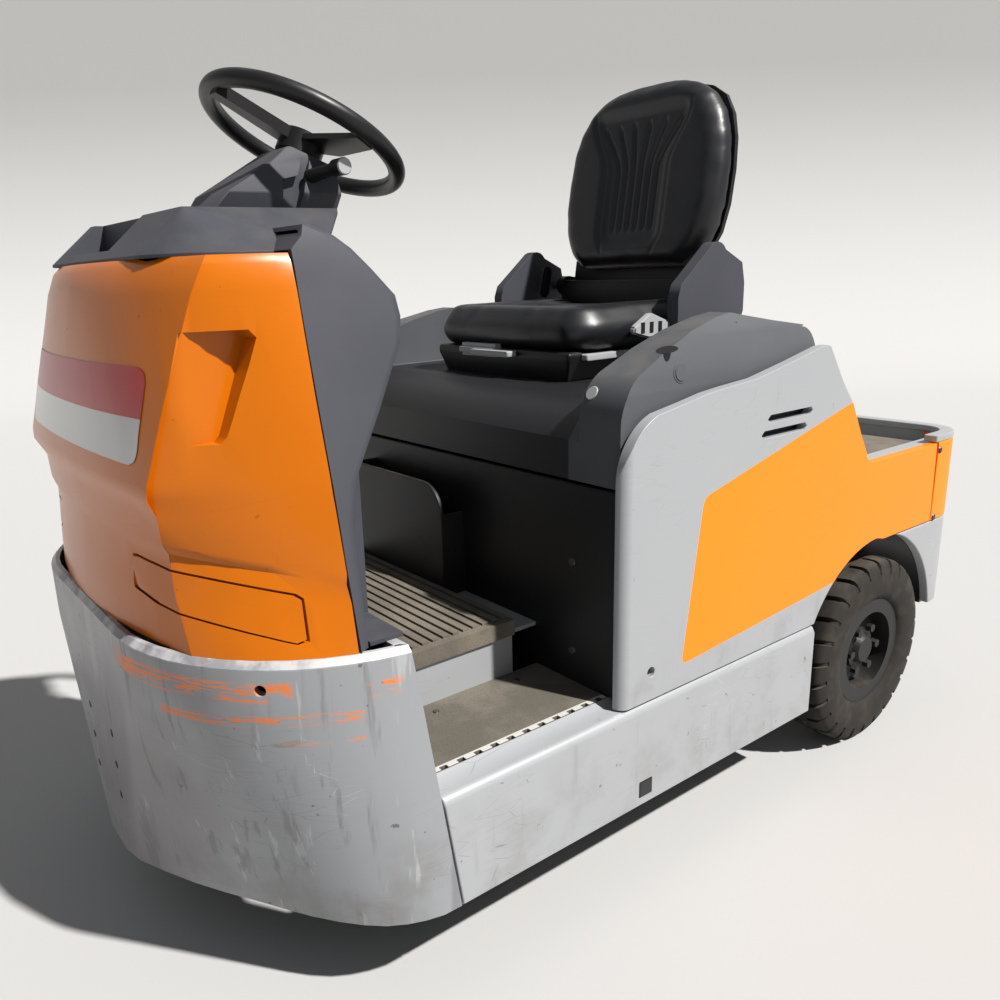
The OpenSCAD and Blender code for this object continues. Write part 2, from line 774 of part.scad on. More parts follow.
module storage_pocket() {
    wall = 8;
    top = 648;
    color("#33343a") {
        slab_x(pocket_x1 - wall, pocket_x1)
            polygon(concat([[-floor_half + 6, floor_top], [60, floor_top]],
                arc([0, top - 60], 60, 0, 90, 6), [[-floor_half + 6, top]]));
        box(box_x1, pocket_x1 - wall, -floor_half + 6, -floor_half + 6 + wall, floor_top, top);
        box(box_x1, pocket_x1 - wall, 60 - wall, 60, floor_top, top - 60);
    }
}

module battery_block() {
    color("#55585c") box(bulk_x1 + 30, box_x1 - 45, -rail_y0 + 20, rail_y0 - 20, belly_z1, hood_z0 - 30);
}

// Hood with the seat

// Upper edge of the dark trim at each side of the seat, seen from the left
function trim_outline() = concat(
    [[hood_front_x, hood_z0], [hood_front_x, 800]],
    arc([hood_front_x - 88, 800], 88, 0, 62, 7),
    aback([[92, 910], [20, 934], [-60, 952], [-105, 957], [-136, 951], [-210, 938], [-296, 925]]),
    arc([hood_rear_x + 26, 896], 26, 85, 175, 5),
    [[hood_rear_x, hood_z0 + 120], [hood_rear_x + 60, hood_z0]]);

module hood_trim() {
    y1 = panel_y0 - open_gap;
    intersection() {
        slab_y(y1 - 90, y1) polygon(trim_outline());
        slab_x(hood_rear_x - 80, hood_front_x + 180) polygon([[y1 - 90, 600], [y1, 600], [y1, 846], [y1 - 6, 880], [y1 - 22, 925], [y1 - 46, 960],
            [y1 - 90, 960]]);
    }
}

module hood_center() {
    y1 = panel_y0 - open_gap - 89;
    slab_y(-y1, y1) polygon([[hood_front_x, hood_z0], [hood_front_x, 770], [hood_front_x - 24, 800],
        [hood_front_x - 90, hood_z1], [hood_rear_x, hood_z1], [hood_rear_x, hood_z1 - hood_t],
        [hood_front_x - 94, hood_z1 - hood_t], [hood_front_x - 30, 794],
        [hood_front_x - hood_t, 766], [hood_front_x - hood_t, hood_z0]]);
}

module hood_knuckles() {
    for (y = [-260, 200]) difference() {
        union() {
            rod_y(hinge_x, hinge_z, hood_rod_r + 6, y, y + 60);
            box(hinge_x, hood_rear_x + 12, y, y + 60, hinge_z - 14, hinge_z);
            box(hood_rear_x, hood_rear_x + 12, y, y + 60, hood_z1, hinge_z);
        }
        rod_y(hinge_x, hinge_z, hood_rod_r + pin_fit, y - 1, y + 61);
    }
}

module battery_hood() {
    color("#454850") {
        both_sides() hood_trim();
        hood_center();
        hood_knuckles();
    }
}

module seat_base() {
    color("#17181a") hull() {
        box(seat_rear_x + 20, seat_front_x - 18, -190, 190, hood_z1, hood_z1 + 2);
        box(seat_rear_x + 10, seat_front_x - 8, -seat_base_half, seat_base_half, cushion_z - 16,
            cushion_z - soft_gap);
    }
}

// Outline of the seat from above, moved inwards by d
function seat_outline(d) = let (half = concat([[seat_rear_x + d / 2, seat_half - d - 30]],
    arc([seat_rear_x + 34, seat_half - 30], 30 - d, 150, 90, 3),
    arc([seat_front_x - 74, seat_half - 74], 74 - d, 90, 20, 7), [[seat_front_x - d, 60]]))
    concat(half, flip_y(half));

module seat_cushion() {
    color("#131416") hull() {
        translate([0, 0, cushion_z]) linear_extrude(4) polygon(seat_outline(16));
        translate([0, 0, cushion_z + 20]) linear_extrude(26) polygon(seat_outline(0));
        translate([0, 0, cushion_z + cushion_t - 4]) linear_extrude(4) polygon(seat_outline(26));
    }
}

module hinge_cover() {
    slab_y(cover_y0, cover_y0 + cover_t) polygon(concat(
        aback([[-150, cushion_z + 22], [-149, 980], [-158, 1004]]),
        arc([-262 + rear_dx, 1050], 30, 40, 150, 6),
        [[back_x - 20, 1040], [back_x - 30, 1000], [back_x - 30, 945], [back_x - 10, cushion_z + 10]]));
    rod_y(back_x, back_z, back_pin_r, 202, cover_y0 + 1);
    box(-280 + rear_dx, -170 + rear_dx, seat_base_half, cover_y0 + 10, cushion_z - 16, cushion_z - 4);
    box(-280 + rear_dx, -170 + rear_dx, cover_y0, cover_y0 + 10, cushion_z - 16, cushion_z + 30);
}

module seat_hinge_covers() {
    color("#3e4148") both_sides() hinge_cover();
}

module seat_levers() {
    color("#c9ccd0") {
        box(seat_front_x - 8, seat_front_x + 18, -60, 60, cushion_z - 14, cushion_z - 2);
        box(seat_front_x - 158, seat_front_x - 38, seat_base_half, seat_base_half + 17, cushion_z - 16,
            cushion_z - 4);
    }
}

module at_back() {
    translate([back_x, 0, back_z]) rotate([0, -back_tilt, 0]) children();
}

// Outline of the backrest from the front, moved inwards by d
function back_outline(d) = let (w = seat_half / 240, h = back_h / 425,
    half = [for (p = inset([[150, 30], [188, 58], [212, 104], [222, 160], [223, 230], [217, 292],
    [203, 342], [178, 383], [140, 408], [92, 421], [30, 425]], -d)) [p[0] * w, p[1] * h]])
    concat(half, [for (i = [len(half) - 1:-1:0]) [-half[i][0], half[i][1]]]);

module seat_back_shell() {
    color("#141517") at_back() {
        hull() {
            slab_x(-32, -22) polygon(back_outline(8));
            slab_x(-46, -40) polygon(back_outline(34));
        }
        box(-40, -22, -205, 205, 6, 60);
        for (side = [-1, 1]) difference() {
            union() {
                translate([0, side * 210, 0]) rotate([90, 0, 0])
                    cylinder(r = 22, h = 20, center = true, $fn = 48);
                translate([0, side * 210, 0]) box(-34, 0, -10, 10, 0, 22);
            }
            translate([0, side * 210, 0]) rotate([90, 0, 0])
                cylinder(r = back_pin_r + pin_fit, h = 60, center = true, $fn = 48);
        }
    }
}

module seat_backrest() {
    color("#131416") at_back() hull() {
        slab_x(-21.7, 12) polygon(back_outline(0));
        slab_x(12, 34) polygon(back_outline(24));
    }
}

// Rear end

function rear_outline(d) = let (r = rear_corner_r - d, c = [-half_l + rear_corner_r,
    panel_y1 - rear_corner_r], h = concat(arc(c, r, 180, 90, 6))) h;

module rear_ring(z0, z1, d, x1) {
    outer = concat(rear_outline(0), [[x1, panel_y1]]);
    inner = concat(rear_outline(d), [[x1, panel_y1 - d]]);
    translate([0, 0, z0]) linear_extrude(z1 - z0) difference() {
        polygon(concat(outer, flip_y(outer)));
        polygon(concat(inner, [[x1 + 1, panel_y1 - d]], flip_y(concat(inner, [[x1 + 1, panel_y1 - d]]))));
    }
}

module rear_bulkhead() {
    color("#8d9197") {
        slab_y(-panel_y0, panel_y0) polygon(aback([[-486, deck_z], [-486, 632], [-350, 850],
            [-336, 850], [-474, 628], [-474, deck_z]]));
        rod_y(hinge_x, hinge_z, hood_rod_r, -panel_y0 + 74, panel_y0 - 74);
        for (y = [-panel_y0 + 84, -40, panel_y0 - 164])
            box(hinge_x - 18, hinge_x + 2, y, y + 80, 846, hinge_z - 4);
    }
}

module rear_deck() {
    color("#9a9ea5") {
        difference() {
            union() {
                box(rear_in_x, bulk_x1 - bulk_t, -panel_y0, panel_y0, deck_z - deck_t, deck_z);
                both_sides() box(rear_in_x, -486 + rear_dx, panel_y0 - 34, panel_y0, deck_z, deck_z + 36);
            }
            both_sides() difference() {
                box(rear_in_x - 1, -half_l + rear_corner_r, panel_y1 - rear_corner_r, panel_y0 + 1, 500, 700);
                translate([-half_l + rear_corner_r, panel_y1 - rear_corner_r, 499])
                    cylinder(r = rear_corner_r - panel_t - 1, h = 202, $fn = 48);
            }
        }
    }
}

module deck_mat() {
    color("#5c574f") box(rear_in_x + 44, -486 + rear_dx, -panel_y0 + 34, panel_y0 - 34, deck_z, deck_z + deck_mat_t);
}

module rear_rail() {
    color("#9a9ea5") rear_ring(640, 655, 30, panel_x0 + 3);
}

module rear_panel() {
    y = panel_y1 - rear_corner_r;
    color("#9a9ea5") box(-half_l, rear_in_x, -y, y, skirt_z1, 640);
}

module rear_corner_posts() {
    color("#f08c14") difference() {
        rear_ring(skirt_z1, 640, panel_t, panel_x0 - 6 - seam);
        box(-half_l - 1, rear_in_x + 1, -panel_y1 + rear_corner_r, panel_y1 - rear_corner_r, 400, 700);
    }
}

module rear_skirt() {
    color("#9a9ea5") difference() {
        rear_ring(skirt_z0, skirt_z1, panel_t, axle_x - 60);
        rod_y(axle_x, rear_tyre_r, arch_r + 2, -600, 600, arch_n);
        box(-half_l - 1, -half_l + 120, -140, 140, skirt_z0 - 1, 440);
    }
}

module mudguards() {
    color("#151617") both_sides() difference() {
        rod_y(axle_x, rear_tyre_r, arch_r + 14, panel_y0 - 144, panel_y0, arch_n);
        rod_y(axle_x, rear_tyre_r, arch_r + 2, panel_y0 - 145, panel_y0 + 1, arch_n);
        box(axle_x - 400, axle_x + 400, 0, panel_y0 + 20, -100, rear_tyre_r + 38);
        box(bulk_x1 - bulk_t - 1, bulk_x1 + 400, 0, panel_y0 + 20, 0, 900);
    }
}

// Tow coupling with its pin

module tow_coupling() {
    jaw = 56;
    color("#232427") difference() {
        union() {
            box(cross_x - 14, cross_x, -90, 90, tow_z - jaw - 12, tow_z + jaw + 10);
            for (z = [-jaw, 0, jaw]) hull() {
                box(cross_x - 14, cross_x - 12, -60, 60, tow_z + z - 7, tow_z + z + 7);
                translate([pin_x, 0, tow_z + z - 7]) cylinder(r = 24, h = 14, $fn = 32);
            }
        }
        translate([pin_x, 0, 200]) cylinder(r = tow_pin_r + pin_fit, h = 300, $fn = 48);
    }
}

module coupling_pin() {
    color("#8f9297") {
        translate([pin_x, 0, tow_z - 76]) cylinder(r = tow_pin_r, h = 140, $fn = 48);
        translate([pin_x, 0, tow_z + 63]) cylinder(r = 20, h = 10, $fn = 48);
    }
}

// Wheels and axles

module rear_axle() {
    color("#303236") {
        rod_y(axle_x, rear_tyre_r, axle_tube_r, -tyre_y0 + 30, tyre_y0 - 30);
        box(axle_x - 80, axle_x + 120, -140, 140, rear_tyre_r - 80, rear_tyre_r + 80);
        both_sides() rod_y(axle_x, rear_tyre_r, stub_r, tyre_y0 - 31, tyre_y1 - 40);
    }
}

module rim(w, x, y, z, side) {
    translate([x, y, z]) rotate([-90 * side, 0, 0]) difference() {
        rotate_extrude($fn = round_n) rim_section(w);
        cylinder(r = stub_r + pin_fit, h = 400, center = true, $fn = 48);
    }
}

module rim_section(w) {
    difference() {
        union() {
            translate([88, -w / 2 + 10]) square([12, w - 20]);
            translate([88, -w / 2 + 10]) square([rim_r - 88, 5]);
            translate([88, w / 2 - 15]) square([rim_r - 88, 5]);
            translate([0, -6]) square([90, 12]);
            translate([0, -26]) square([46, 52]);
        }
        translate([-1, -200]) square([1, 400]);
    }
}

module tyre(r, w, x, y, z) {
    inner = 100 + soft_gap;
    translate([x, y, z]) rotate([90, 0, 0]) rotate_extrude($fn = round_n)
        polygon([[inner, -w / 2 + 15.5], [rim_r + 2, -w / 2 + 15.5], [rim_r + 2, -w / 2 + 5], [rim_r + 14, -w / 2 + 1],
            [rim_r + 40, -w / 2], [r - 26, -w / 2 + 2], [r - 8, -w / 2 + 6], [r - 2, -w / 2 + 14],
            [r, -w / 2 + 26], [r, w / 2 - 26], [r - 2, w / 2 - 14], [r - 8, w / 2 - 6],
            [r - 26, w / 2 - 2], [rim_r + 40, w / 2], [rim_r + 14, w / 2 - 1],
            [rim_r + 2, w / 2 - 5], [rim_r + 2, w / 2 - 15.5], [inner, w / 2 - 15.5]]);
}

rear_y = tyre_y1 - rear_tyre_w / 2;

module rear_rim_left() {
    color("#33353a") rim(rear_tyre_w, axle_x, rear_y, rear_tyre_r, 1);
}

module rear_rim_right() {
    color("#33353a") rim(rear_tyre_w, axle_x, -rear_y, rear_tyre_r, -1);
}

module rear_tyre_left() {
    color("#3d3933") tyre(rear_tyre_r, rear_tyre_w, axle_x, rear_y, rear_tyre_r);
}

module rear_tyre_right() {
    color("#3d3933") tyre(rear_tyre_r, rear_tyre_w, axle_x, -rear_y, rear_tyre_r);
}

module front_fork() {
    color("#2b2d30") {
        box(pivot_x - fork_half_x, pivot_x + fork_half_x, -fork_y1, fork_y1, crown_z0, crown_z0 + crown_t);
        both_sides() hull() {
            box(pivot_x - fork_half_x, pivot_x + fork_half_x, fork_y0, fork_y1, crown_z0 - 1, crown_z0);
            rod_y(pivot_x, front_tyre_r, 34, fork_y0, fork_y1);
        }
        rod_y(pivot_x, front_tyre_r, stub_r, -fork_y0, fork_y0);
        translate([pivot_x, 0, crown_z0 + crown_t]) cylinder(r = kingpin_r, h = 90, $fn = round_n);
    }
}

module front_rim() {
    color("#33353a") rim(front_tyre_w, pivot_x, 0, front_tyre_r, 1);
}

module front_tyre() {
    color("#3d3933") tyre(front_tyre_r, front_tyre_w, pivot_x, 0, front_tyre_r);
}

chassis_frame();
front_bumper();
sill_left();
sill_right();
step_left();
step_right();
floor_platform();
floor_mat();
front_cowl();
console_shell();
column_housing();
stalks();
pedals();
steering_wheel();
steering_shaft();
side_panel_left();
side_panel_right();
seat_box_front();
storage_pocket();
battery_block();
battery_hood();
seat_base();
seat_cushion();
seat_hinge_covers();
seat_levers();
seat_back_shell();
seat_backrest();
rear_bulkhead();
rear_deck();
deck_mat();
rear_rail();
rear_panel();
rear_corner_posts();
rear_skirt();
mudguards();
tow_coupling();
coupling_pin();
rear_axle();
rear_rim_left();
rear_rim_right();
rear_tyre_left();
rear_tyre_right();
front_fork();
front_rim();
front_tyre();
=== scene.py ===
import json
import math

import bmesh
import bpy
from mathutils import Matrix, Vector
from mathutils.bvhtree import BVHTree


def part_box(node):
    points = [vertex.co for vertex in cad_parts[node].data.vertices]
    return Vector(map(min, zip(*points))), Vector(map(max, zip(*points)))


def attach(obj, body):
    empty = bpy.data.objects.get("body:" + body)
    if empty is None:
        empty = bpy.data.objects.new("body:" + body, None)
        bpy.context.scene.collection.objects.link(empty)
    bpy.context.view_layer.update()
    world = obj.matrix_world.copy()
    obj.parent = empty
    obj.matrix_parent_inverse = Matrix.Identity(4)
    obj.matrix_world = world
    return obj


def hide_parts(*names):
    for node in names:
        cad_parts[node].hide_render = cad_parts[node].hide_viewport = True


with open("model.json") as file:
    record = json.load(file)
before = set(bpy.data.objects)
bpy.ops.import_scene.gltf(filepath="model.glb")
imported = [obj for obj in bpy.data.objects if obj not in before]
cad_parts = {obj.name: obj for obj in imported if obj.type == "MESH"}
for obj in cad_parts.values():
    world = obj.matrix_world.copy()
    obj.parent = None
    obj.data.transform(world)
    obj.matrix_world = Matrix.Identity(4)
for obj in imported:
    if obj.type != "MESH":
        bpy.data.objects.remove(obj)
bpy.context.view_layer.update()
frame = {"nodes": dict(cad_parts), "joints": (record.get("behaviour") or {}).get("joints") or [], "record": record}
NODES = frame["nodes"]

# Camera, fitted to the photo: its place, its turns, its focal length in frame widths, and where its axis
# meets the frame, as shares of the frame from the left and from the top
CAM_POS = Vector((1.1939, 1.3657, 1.0426))
CAM_YAW = math.radians(-126.143)
CAM_PITCH = math.radians(-15.4995)
CAM_ROLL = math.radians(-2.128)
CAM_FOCAL = 0.86216
CAM_CENTRE = (0.45310, 0.51064)
CAM_SENSOR = 36
CAM_NEAR = 0.05


def add_camera():
    ahead = Vector((math.cos(CAM_YAW) * math.cos(CAM_PITCH), math.sin(CAM_YAW) * math.cos(CAM_PITCH),
                    math.sin(CAM_PITCH)))
    level = ahead.cross(Vector((0, 0, 1))).normalized()
    rising = level.cross(ahead)
    right = level * math.cos(CAM_ROLL) + rising * math.sin(CAM_ROLL)
    up = rising * math.cos(CAM_ROLL) - level * math.sin(CAM_ROLL)
    data = bpy.data.cameras.new("camera")
    data.sensor_width = CAM_SENSOR
    data.lens = CAM_FOCAL * data.sensor_width
    data.shift_x = 0.5 - CAM_CENTRE[0]
    data.shift_y = CAM_CENTRE[1] - 0.5
    data.clip_start = CAM_NEAR
    cam = bpy.data.objects.new("camera", data)
    bpy.context.collection.objects.link(cam)
    axes = Matrix((right, up, -ahead)).transposed().to_4x4()
    cam.matrix_world = Matrix.Translation(CAM_POS) @ axes
    bpy.context.scene.camera = cam


add_camera()

# Light: sun from the left, a little from behind, and a dim sky
SUN_AZIMUTH = math.radians(23)
SUN_HEIGHT = math.radians(51)
SUN_ENERGY = 7.8
SUN_WIDE = math.radians(1.6)
SUN_COLOUR = (1.0, 0.97, 0.93)
SKY_COLOUR = (0.93, 0.96, 1.0, 1)
SKY_STRENGTH = 0.30


def add_sun():
    data = bpy.data.lights.new("sun", "SUN")
    data.energy = SUN_ENERGY
    data.angle = SUN_WIDE
    data.color = SUN_COLOUR
    sun = bpy.data.objects.new("sun", data)
    bpy.context.collection.objects.link(sun)
    out = math.cos(SUN_HEIGHT)
    way = Vector((-math.sin(SUN_AZIMUTH) * out, math.cos(SUN_AZIMUTH) * out, math.sin(SUN_HEIGHT)))
    sun.rotation_euler = way.to_track_quat("Z", "Y").to_euler()


def add_sky():
    world = bpy.data.worlds.new("studio")
    bpy.context.scene.world = world
    world.use_nodes = True
    background = world.node_tree.nodes["Background"]
    background.inputs["Color"].default_value = SKY_COLOUR
    background.inputs["Strength"].default_value = SKY_STRENGTH


add_sun()
add_sky()
bpy.context.scene.view_settings.view_transform = "Standard"


# Materials: a small kit of procedural surface nodes
class Surface:
    """A material whose patterns follow the piece, in metres."""

    def __init__(self, name, colour, rough=0.5, metal=0.0, coat=0.0, coat_rough=0.1):
        self.m = bpy.data.materials.new(name)
        self.m.use_nodes = True
        self.t = self.m.node_tree
        self.b = self.t.nodes["Principled BSDF"]
        self.b.inputs["Base Color"].default_value = (*colour, 1)
        self.b.inputs["Roughness"].default_value = rough
        self.b.inputs["Metallic"].default_value = metal
        self.b.inputs["Coat Weight"].default_value = coat
        self.b.inputs["Coat Roughness"].default_value = coat_rough
        self.m.diffuse_color = (*colour, 1)
        self.colour = (*colour, 1)
        self.co = self.t.nodes.new("ShaderNodeTexCoord").outputs["Object"]

    def shine(self, level):
        self.b.inputs["Specular IOR Level"].default_value = level

    def put(self, socket, value):
        """Links a node's output to the socket, or sets the socket to a constant."""
        if isinstance(value, bpy.types.NodeSocket):
            self.t.links.new(value, socket)
        elif isinstance(value, (tuple, list)) and len(value) == 3 and socket.type == "RGBA":
            socket.default_value = (*value, 1)
        else:
            socket.default_value = value

    def place(self, scale=(1, 1, 1), turn=(0, 0, 0), shift=(0, 0, 0)):
        n = self.t.nodes.new("ShaderNodeMapping")
        self.t.links.new(self.co, n.inputs["Vector"])
        n.inputs["Scale"].default_value = scale
        n.inputs["Rotation"].default_value = [math.radians(a) for a in turn]
        n.inputs["Location"].default_value = shift
        return n.outputs["Vector"]

    def noise(self, scale, detail=4.0, rough=0.6, at=None):
        n = self.t.nodes.new("ShaderNodeTexNoise")
        self.put(n.inputs["Vector"], at or self.co)
        n.inputs["Scale"].default_value = scale
        n.inputs["Detail"].default_value = detail
        n.inputs["Roughness"].default_value = rough
        return n.outputs["Fac"]

    def cells(self, scale, at=None, feature="F1"):
        n = self.t.nodes.new("ShaderNodeTexVoronoi")
        n.feature = feature
        self.put(n.inputs["Vector"], at or self.co)
        n.inputs["Scale"].default_value = scale
        return n.outputs["Distance"]

    def ramp(self, fac, low, high, a=0.0, b=1.0):
        """Goes smoothly from a to b while fac goes from low to high."""
        n = self.t.nodes.new("ShaderNodeMapRange")
        n.interpolation_type = "SMOOTHSTEP"
        self.put(n.inputs["Value"], fac)
        n.inputs["From Min"].default_value = low
        n.inputs["From Max"].default_value = high
        n.inputs["To Min"].default_value = a
        n.inputs["To Max"].default_value = b
        return n.outputs["Result"]

    def calc(self, op, a, b=0.0, c=0.0):
        n = self.t.nodes.new("ShaderNodeMath")
        n.operation = op
        for i, v in enumerate((a, b, c)):
            self.put(n.inputs[i], v)
        return n.outputs[0]

    def times(self, *facs):
        out = facs[0]
        for f in facs[1:]:
            out = self.calc("MULTIPLY", out, f)
        return out

    def mix(self, fac, a, b):
        n = self.t.nodes.new("ShaderNodeMix")
        n.data_type = "RGBA"
        self.put(n.inputs["Factor"], fac)
        self.put(n.inputs["A"], a)
        self.put(n.inputs["B"], b)
        return n.outputs["Result"]

    def axis(self, name):
        n = self.t.nodes.new("ShaderNodeSeparateXYZ")
        self.t.links.new(self.co, n.inputs[0])
        return n.outputs[name]

    def facing(self, name):
        n = self.t.nodes.new("ShaderNodeSeparateXYZ")
        g = self.t.nodes.new("ShaderNodeNewGeometry")
        self.t.links.new(g.outputs["Normal"], n.inputs[0])
        return n.outputs[name]

    def band(self, name, low, high, soft=0.004):
        """1 where the piece's coordinate lies between low and high."""
        v = self.axis(name)
        over = self.ramp(v, low - soft, low + soft)
        under = self.ramp(v, high - soft, high + soft, 1.0, 0.0)
        return self.times(over, under)

    def left_of(self, a, b):
        """Distance in the x-z plane to the left of the line from a to b."""
        run = math.dist(a, b)
        nx = -(b[1] - a[1]) / run
        nz = (b[0] - a[0]) / run
        x = self.calc("MULTIPLY_ADD", self.axis("X"), nx, -nx * a[0] - nz * a[1])
        return self.calc("MULTIPLY_ADD", self.axis("Z"), nz, x)

    def bump(self, height, strength=0.3, depth=0.001):
        n = self.t.nodes.new("ShaderNodeBump")
        n.inputs["Strength"].default_value = strength
        n.inputs["Distance"].default_value = depth
        self.put(n.inputs["Height"], height)
        last = self.b.inputs["Normal"]
        if last.is_linked:
            self.t.links.new(last.links[0].from_socket, n.inputs["Normal"])
        self.t.links.new(n.outputs["Normal"], last)

    def base(self):
        s = self.b.inputs["Base Color"]
        return s.links[0].from_socket if s.is_linked else self.colour

    def cover(self, fac, colour, rough=None):
        """Lays a second colour over the first where fac is 1."""
        self.put(self.b.inputs["Base Color"], self.mix(fac, self.base(), colour))
        if rough is not None:
            r = self.b.inputs["Roughness"]
            old = r.links[0].from_socket if r.is_linked else r.default_value
            n = self.t.nodes.new("ShaderNodeMix")
            n.data_type = "FLOAT"
            self.put(n.inputs["Factor"], fac)
            self.put(n.inputs["A"], old)
            self.put(n.inputs["B"], rough)
            self.put(r, n.outputs["Result"])


ORANGE = (0.90, 0.205, 0.001)
# The cowl's orange is a darker copy of ORANGE: painted shade on the cowl.
ORANGE_SHADED = (0.46, 0.112, 0.0003)
SILVER = (0.30, 0.31, 0.325)
DUST = (0.26, 0.22, 0.165)


# Wear
SCRATCH_STRETCH = (3, 3, 18)


def scratches(s, scale, turn, low, high, shift=(0, 0, 0)):
    """Thin straight scratches in patches: 1 on a scratch, drawn out along the turned height."""
    at = s.place(SCRATCH_STRETCH, turn, shift)
    line = s.cells(scale, at, "DISTANCE_TO_EDGE")
    patch = s.noise(7.0, 3.0, at=s.place((1, 1, 1), (0, 0, 0), shift))
    return s.times(s.ramp(line, 0.0, 0.010, 1.0, 0.0), s.ramp(patch, low, high))


def streaks(s, low, high, amount, colour, shift=0.0):
    """Dirt that has run down: noise drawn out along the height."""
    run = s.noise(34.0, 4.0, at=s.place((1, 1, 0.09), (0, 0, 0), (shift, shift, 0)))
    s.cover(s.times(s.ramp(run, low, high), amount), colour, 0.6)


def chips(s, low, high, amount, colour, scale=55.0):
    """Small spots where the paint is gone."""
    s.cover(s.times(s.ramp(s.noise(scale, 3.0), low, high), amount), colour, 0.6)


def silver(name, wear=1.0, colour=SILVER):
    """Silver paint with a dirty foot, streaks, two sets of scratches and chips."""
    s = Surface(name, colour, 0.38, 0.1, 0.12, 0.25)
    s.cover(s.ramp(s.noise(2.2, 2.0), 0.35, 0.7, 0.0, 0.10), tuple(c * 0.8 for c in colour))
    foot = s.times(s.ramp(s.axis("Z"), 0.13, 0.40, 1.0, 0.0), s.ramp(s.noise(10.0, 4.0), 0.40, 0.72))
    s.cover(s.times(foot, 0.35 * wear), (0.13, 0.12, 0.105), 0.6)
    streaks(s, 0.60, 0.74, 0.30 * wear, (0.15, 0.145, 0.14))
    s.cover(s.times(scratches(s, 3.0, (0, 4, 0), 0.52, 0.62), 0.5 * wear), (0.08, 0.08, 0.08), 0.6)
    s.cover(s.times(scratches(s, 4.0, (0, 78, 10), 0.55, 0.65, (3, 1, 2)), 0.4 * wear),
            (0.55, 0.55, 0.54), 0.5)
    chips(s, 0.70, 0.73, 0.55 * wear, (0.07, 0.065, 0.06))
    s.bump(s.noise(700.0, 2.0), 0.05, 0.0004)
    return s


SCRAPE_COLOUR = (0.66, 0.17, 0.03)
# Orange scrapes on the bumper: spans of z, x and y, how soft their ends are, and how dense they are
SCRAPES = (
    ((0.522, 0.548), (0.78, 0.93), (0.16, 0.46), 0.004, (0.46, 0.52)),
    ((0.488, 0.502), (0.70, 0.90), (0.28, 0.50), 0.004, (0.49, 0.55)),
    ((0.455, 0.468), (0.70, 0.80), (0.40, 0.50), 0.004, (0.52, 0.60)),
    ((0.515, 0.545), (0.65, 0.69), (0.40, 0.50), 0.010, (0.52, 0.56)),
)


def scrape(s, z, x, y, soft, dense):
    """Paint rubbed on in level strokes inside a box."""
    zone = s.times(s.band("Z", *z, soft), s.band("X", *x, soft), s.band("Y", *y))
    stroke = s.noise(26.0, 5.0, 0.7, at=s.place((0.5, 0.5, 7.0)))
    patch = s.ramp(s.noise(16.0, 3.0, at=s.place((1, 1, 3))), 0.38, 0.52)
    s.cover(s.times(zone, patch, s.ramp(stroke, *dense)), SCRAPE_COLOUR, 0.55)


def bumper_paint():
    """The bumper's silver, a darker copy with painted shade that deepens in front, with orange scrapes and a
    painted highlight along its top edge.
    """
    # Painted shade: the bumper takes a darker copy of the silver, for its faces in shade.
    s = silver("bumper_paint", 1.35, (0.25, 0.26, 0.275))
    # Painted shade: the front faces, past x 0.80, are darkened further in clouds.
    front = s.times(s.ramp(s.axis("X"), 0.80, 0.90), s.ramp(s.noise(4.0, 3.0), 0.3, 0.6))
    s.cover(s.times(front, 0.7), (0.14, 0.118, 0.130))
    streaks(s, 0.56, 0.66, 0.45, (0.10, 0.095, 0.10), 0.7)
    streaks(s, 0.60, 0.66, 0.5, (0.42, 0.42, 0.43), 3.1)
    for spans in SCRAPES:
        scrape(s, *spans)
    # Painted highlight: a pale band along the bumper's top edge, broken by noise.
    lip_highlight = s.times(s.band("Z", 0.566, 0.580, 0.002), s.ramp(s.noise(16.0, 4.0), 0.42, 0.6))
    s.cover(lip_highlight, (0.40, 0.40, 0.41), 0.45)
    return s


def orange(name, colour, rough, coat, coat_rough, wear=1.0):
    """Orange paint with darker clouds, scratches and chips."""
    s = Surface(name, colour, rough, 0.0, coat, coat_rough)
    s.shine(0.2)
    s.cover(s.ramp(s.noise(3.0, 4.0), 0.35, 0.75, 0.0, 0.16 * wear), tuple(c * 0.72 for c in colour))
    s.cover(s.times(scratches(s, 3.0, (0, 85, 5), 0.56, 0.64, (1, 2, 5)), 0.35 * wear),
            (0.35, 0.09, 0.004), 0.55)
    chips(s, 0.72, 0.745, 0.6 * wear, (0.16, 0.05, 0.01), 70.0)
    s.bump(s.noise(420.0, 2.0), 0.03, 0.0004)
    return s


# Lines of the orange field on each side panel, in x and z, and how round its corners are
FIELD_FRONT = ((0.080, 0.386), (0.034, 0.690))
FIELD_TOP = ((0.030, 0.666), (-0.400, 0.772))
FIELD_FOOT = ((-0.314, 0.402), (0.066, 0.375))
FIELD_ROUND = 0.022
FIELD_EDGE = 0.0006


def panel_paint():
    """Silver side panel with a field of orange behind a leaning front edge."""
    s = silver("panel_paint", 0.45)
    s.shine(0.25)
    front = s.left_of(FIELD_FRONT[0], FIELD_FRONT[1])
    top = s.left_of(FIELD_TOP[0], FIELD_TOP[1])
    foot = s.left_of(FIELD_FOOT[0], FIELD_FOOT[1])
    inside = s.calc("SMOOTH_MIN", s.calc("SMOOTH_MIN", front, top, FIELD_ROUND), foot, FIELD_ROUND)
    s.cover(s.ramp(inside, -FIELD_EDGE, FIELD_EDGE), ORANGE, 0.4)
    s.cover(s.times(scratches(s, 3.0, (0, 85, 5), 0.56, 0.64, (4, 2, 5)), 0.3), (0.16, 0.10, 0.05), 0.55)
    s.cover(s.times(s.ramp(s.axis("Z"), 0.33, 0.42, 1.0, 0.0), s.ramp(s.noise(12.0, 5.0), 0.5, 0.7), 0.3),
            (0.15, 0.14, 0.12), 0.6)
    return s


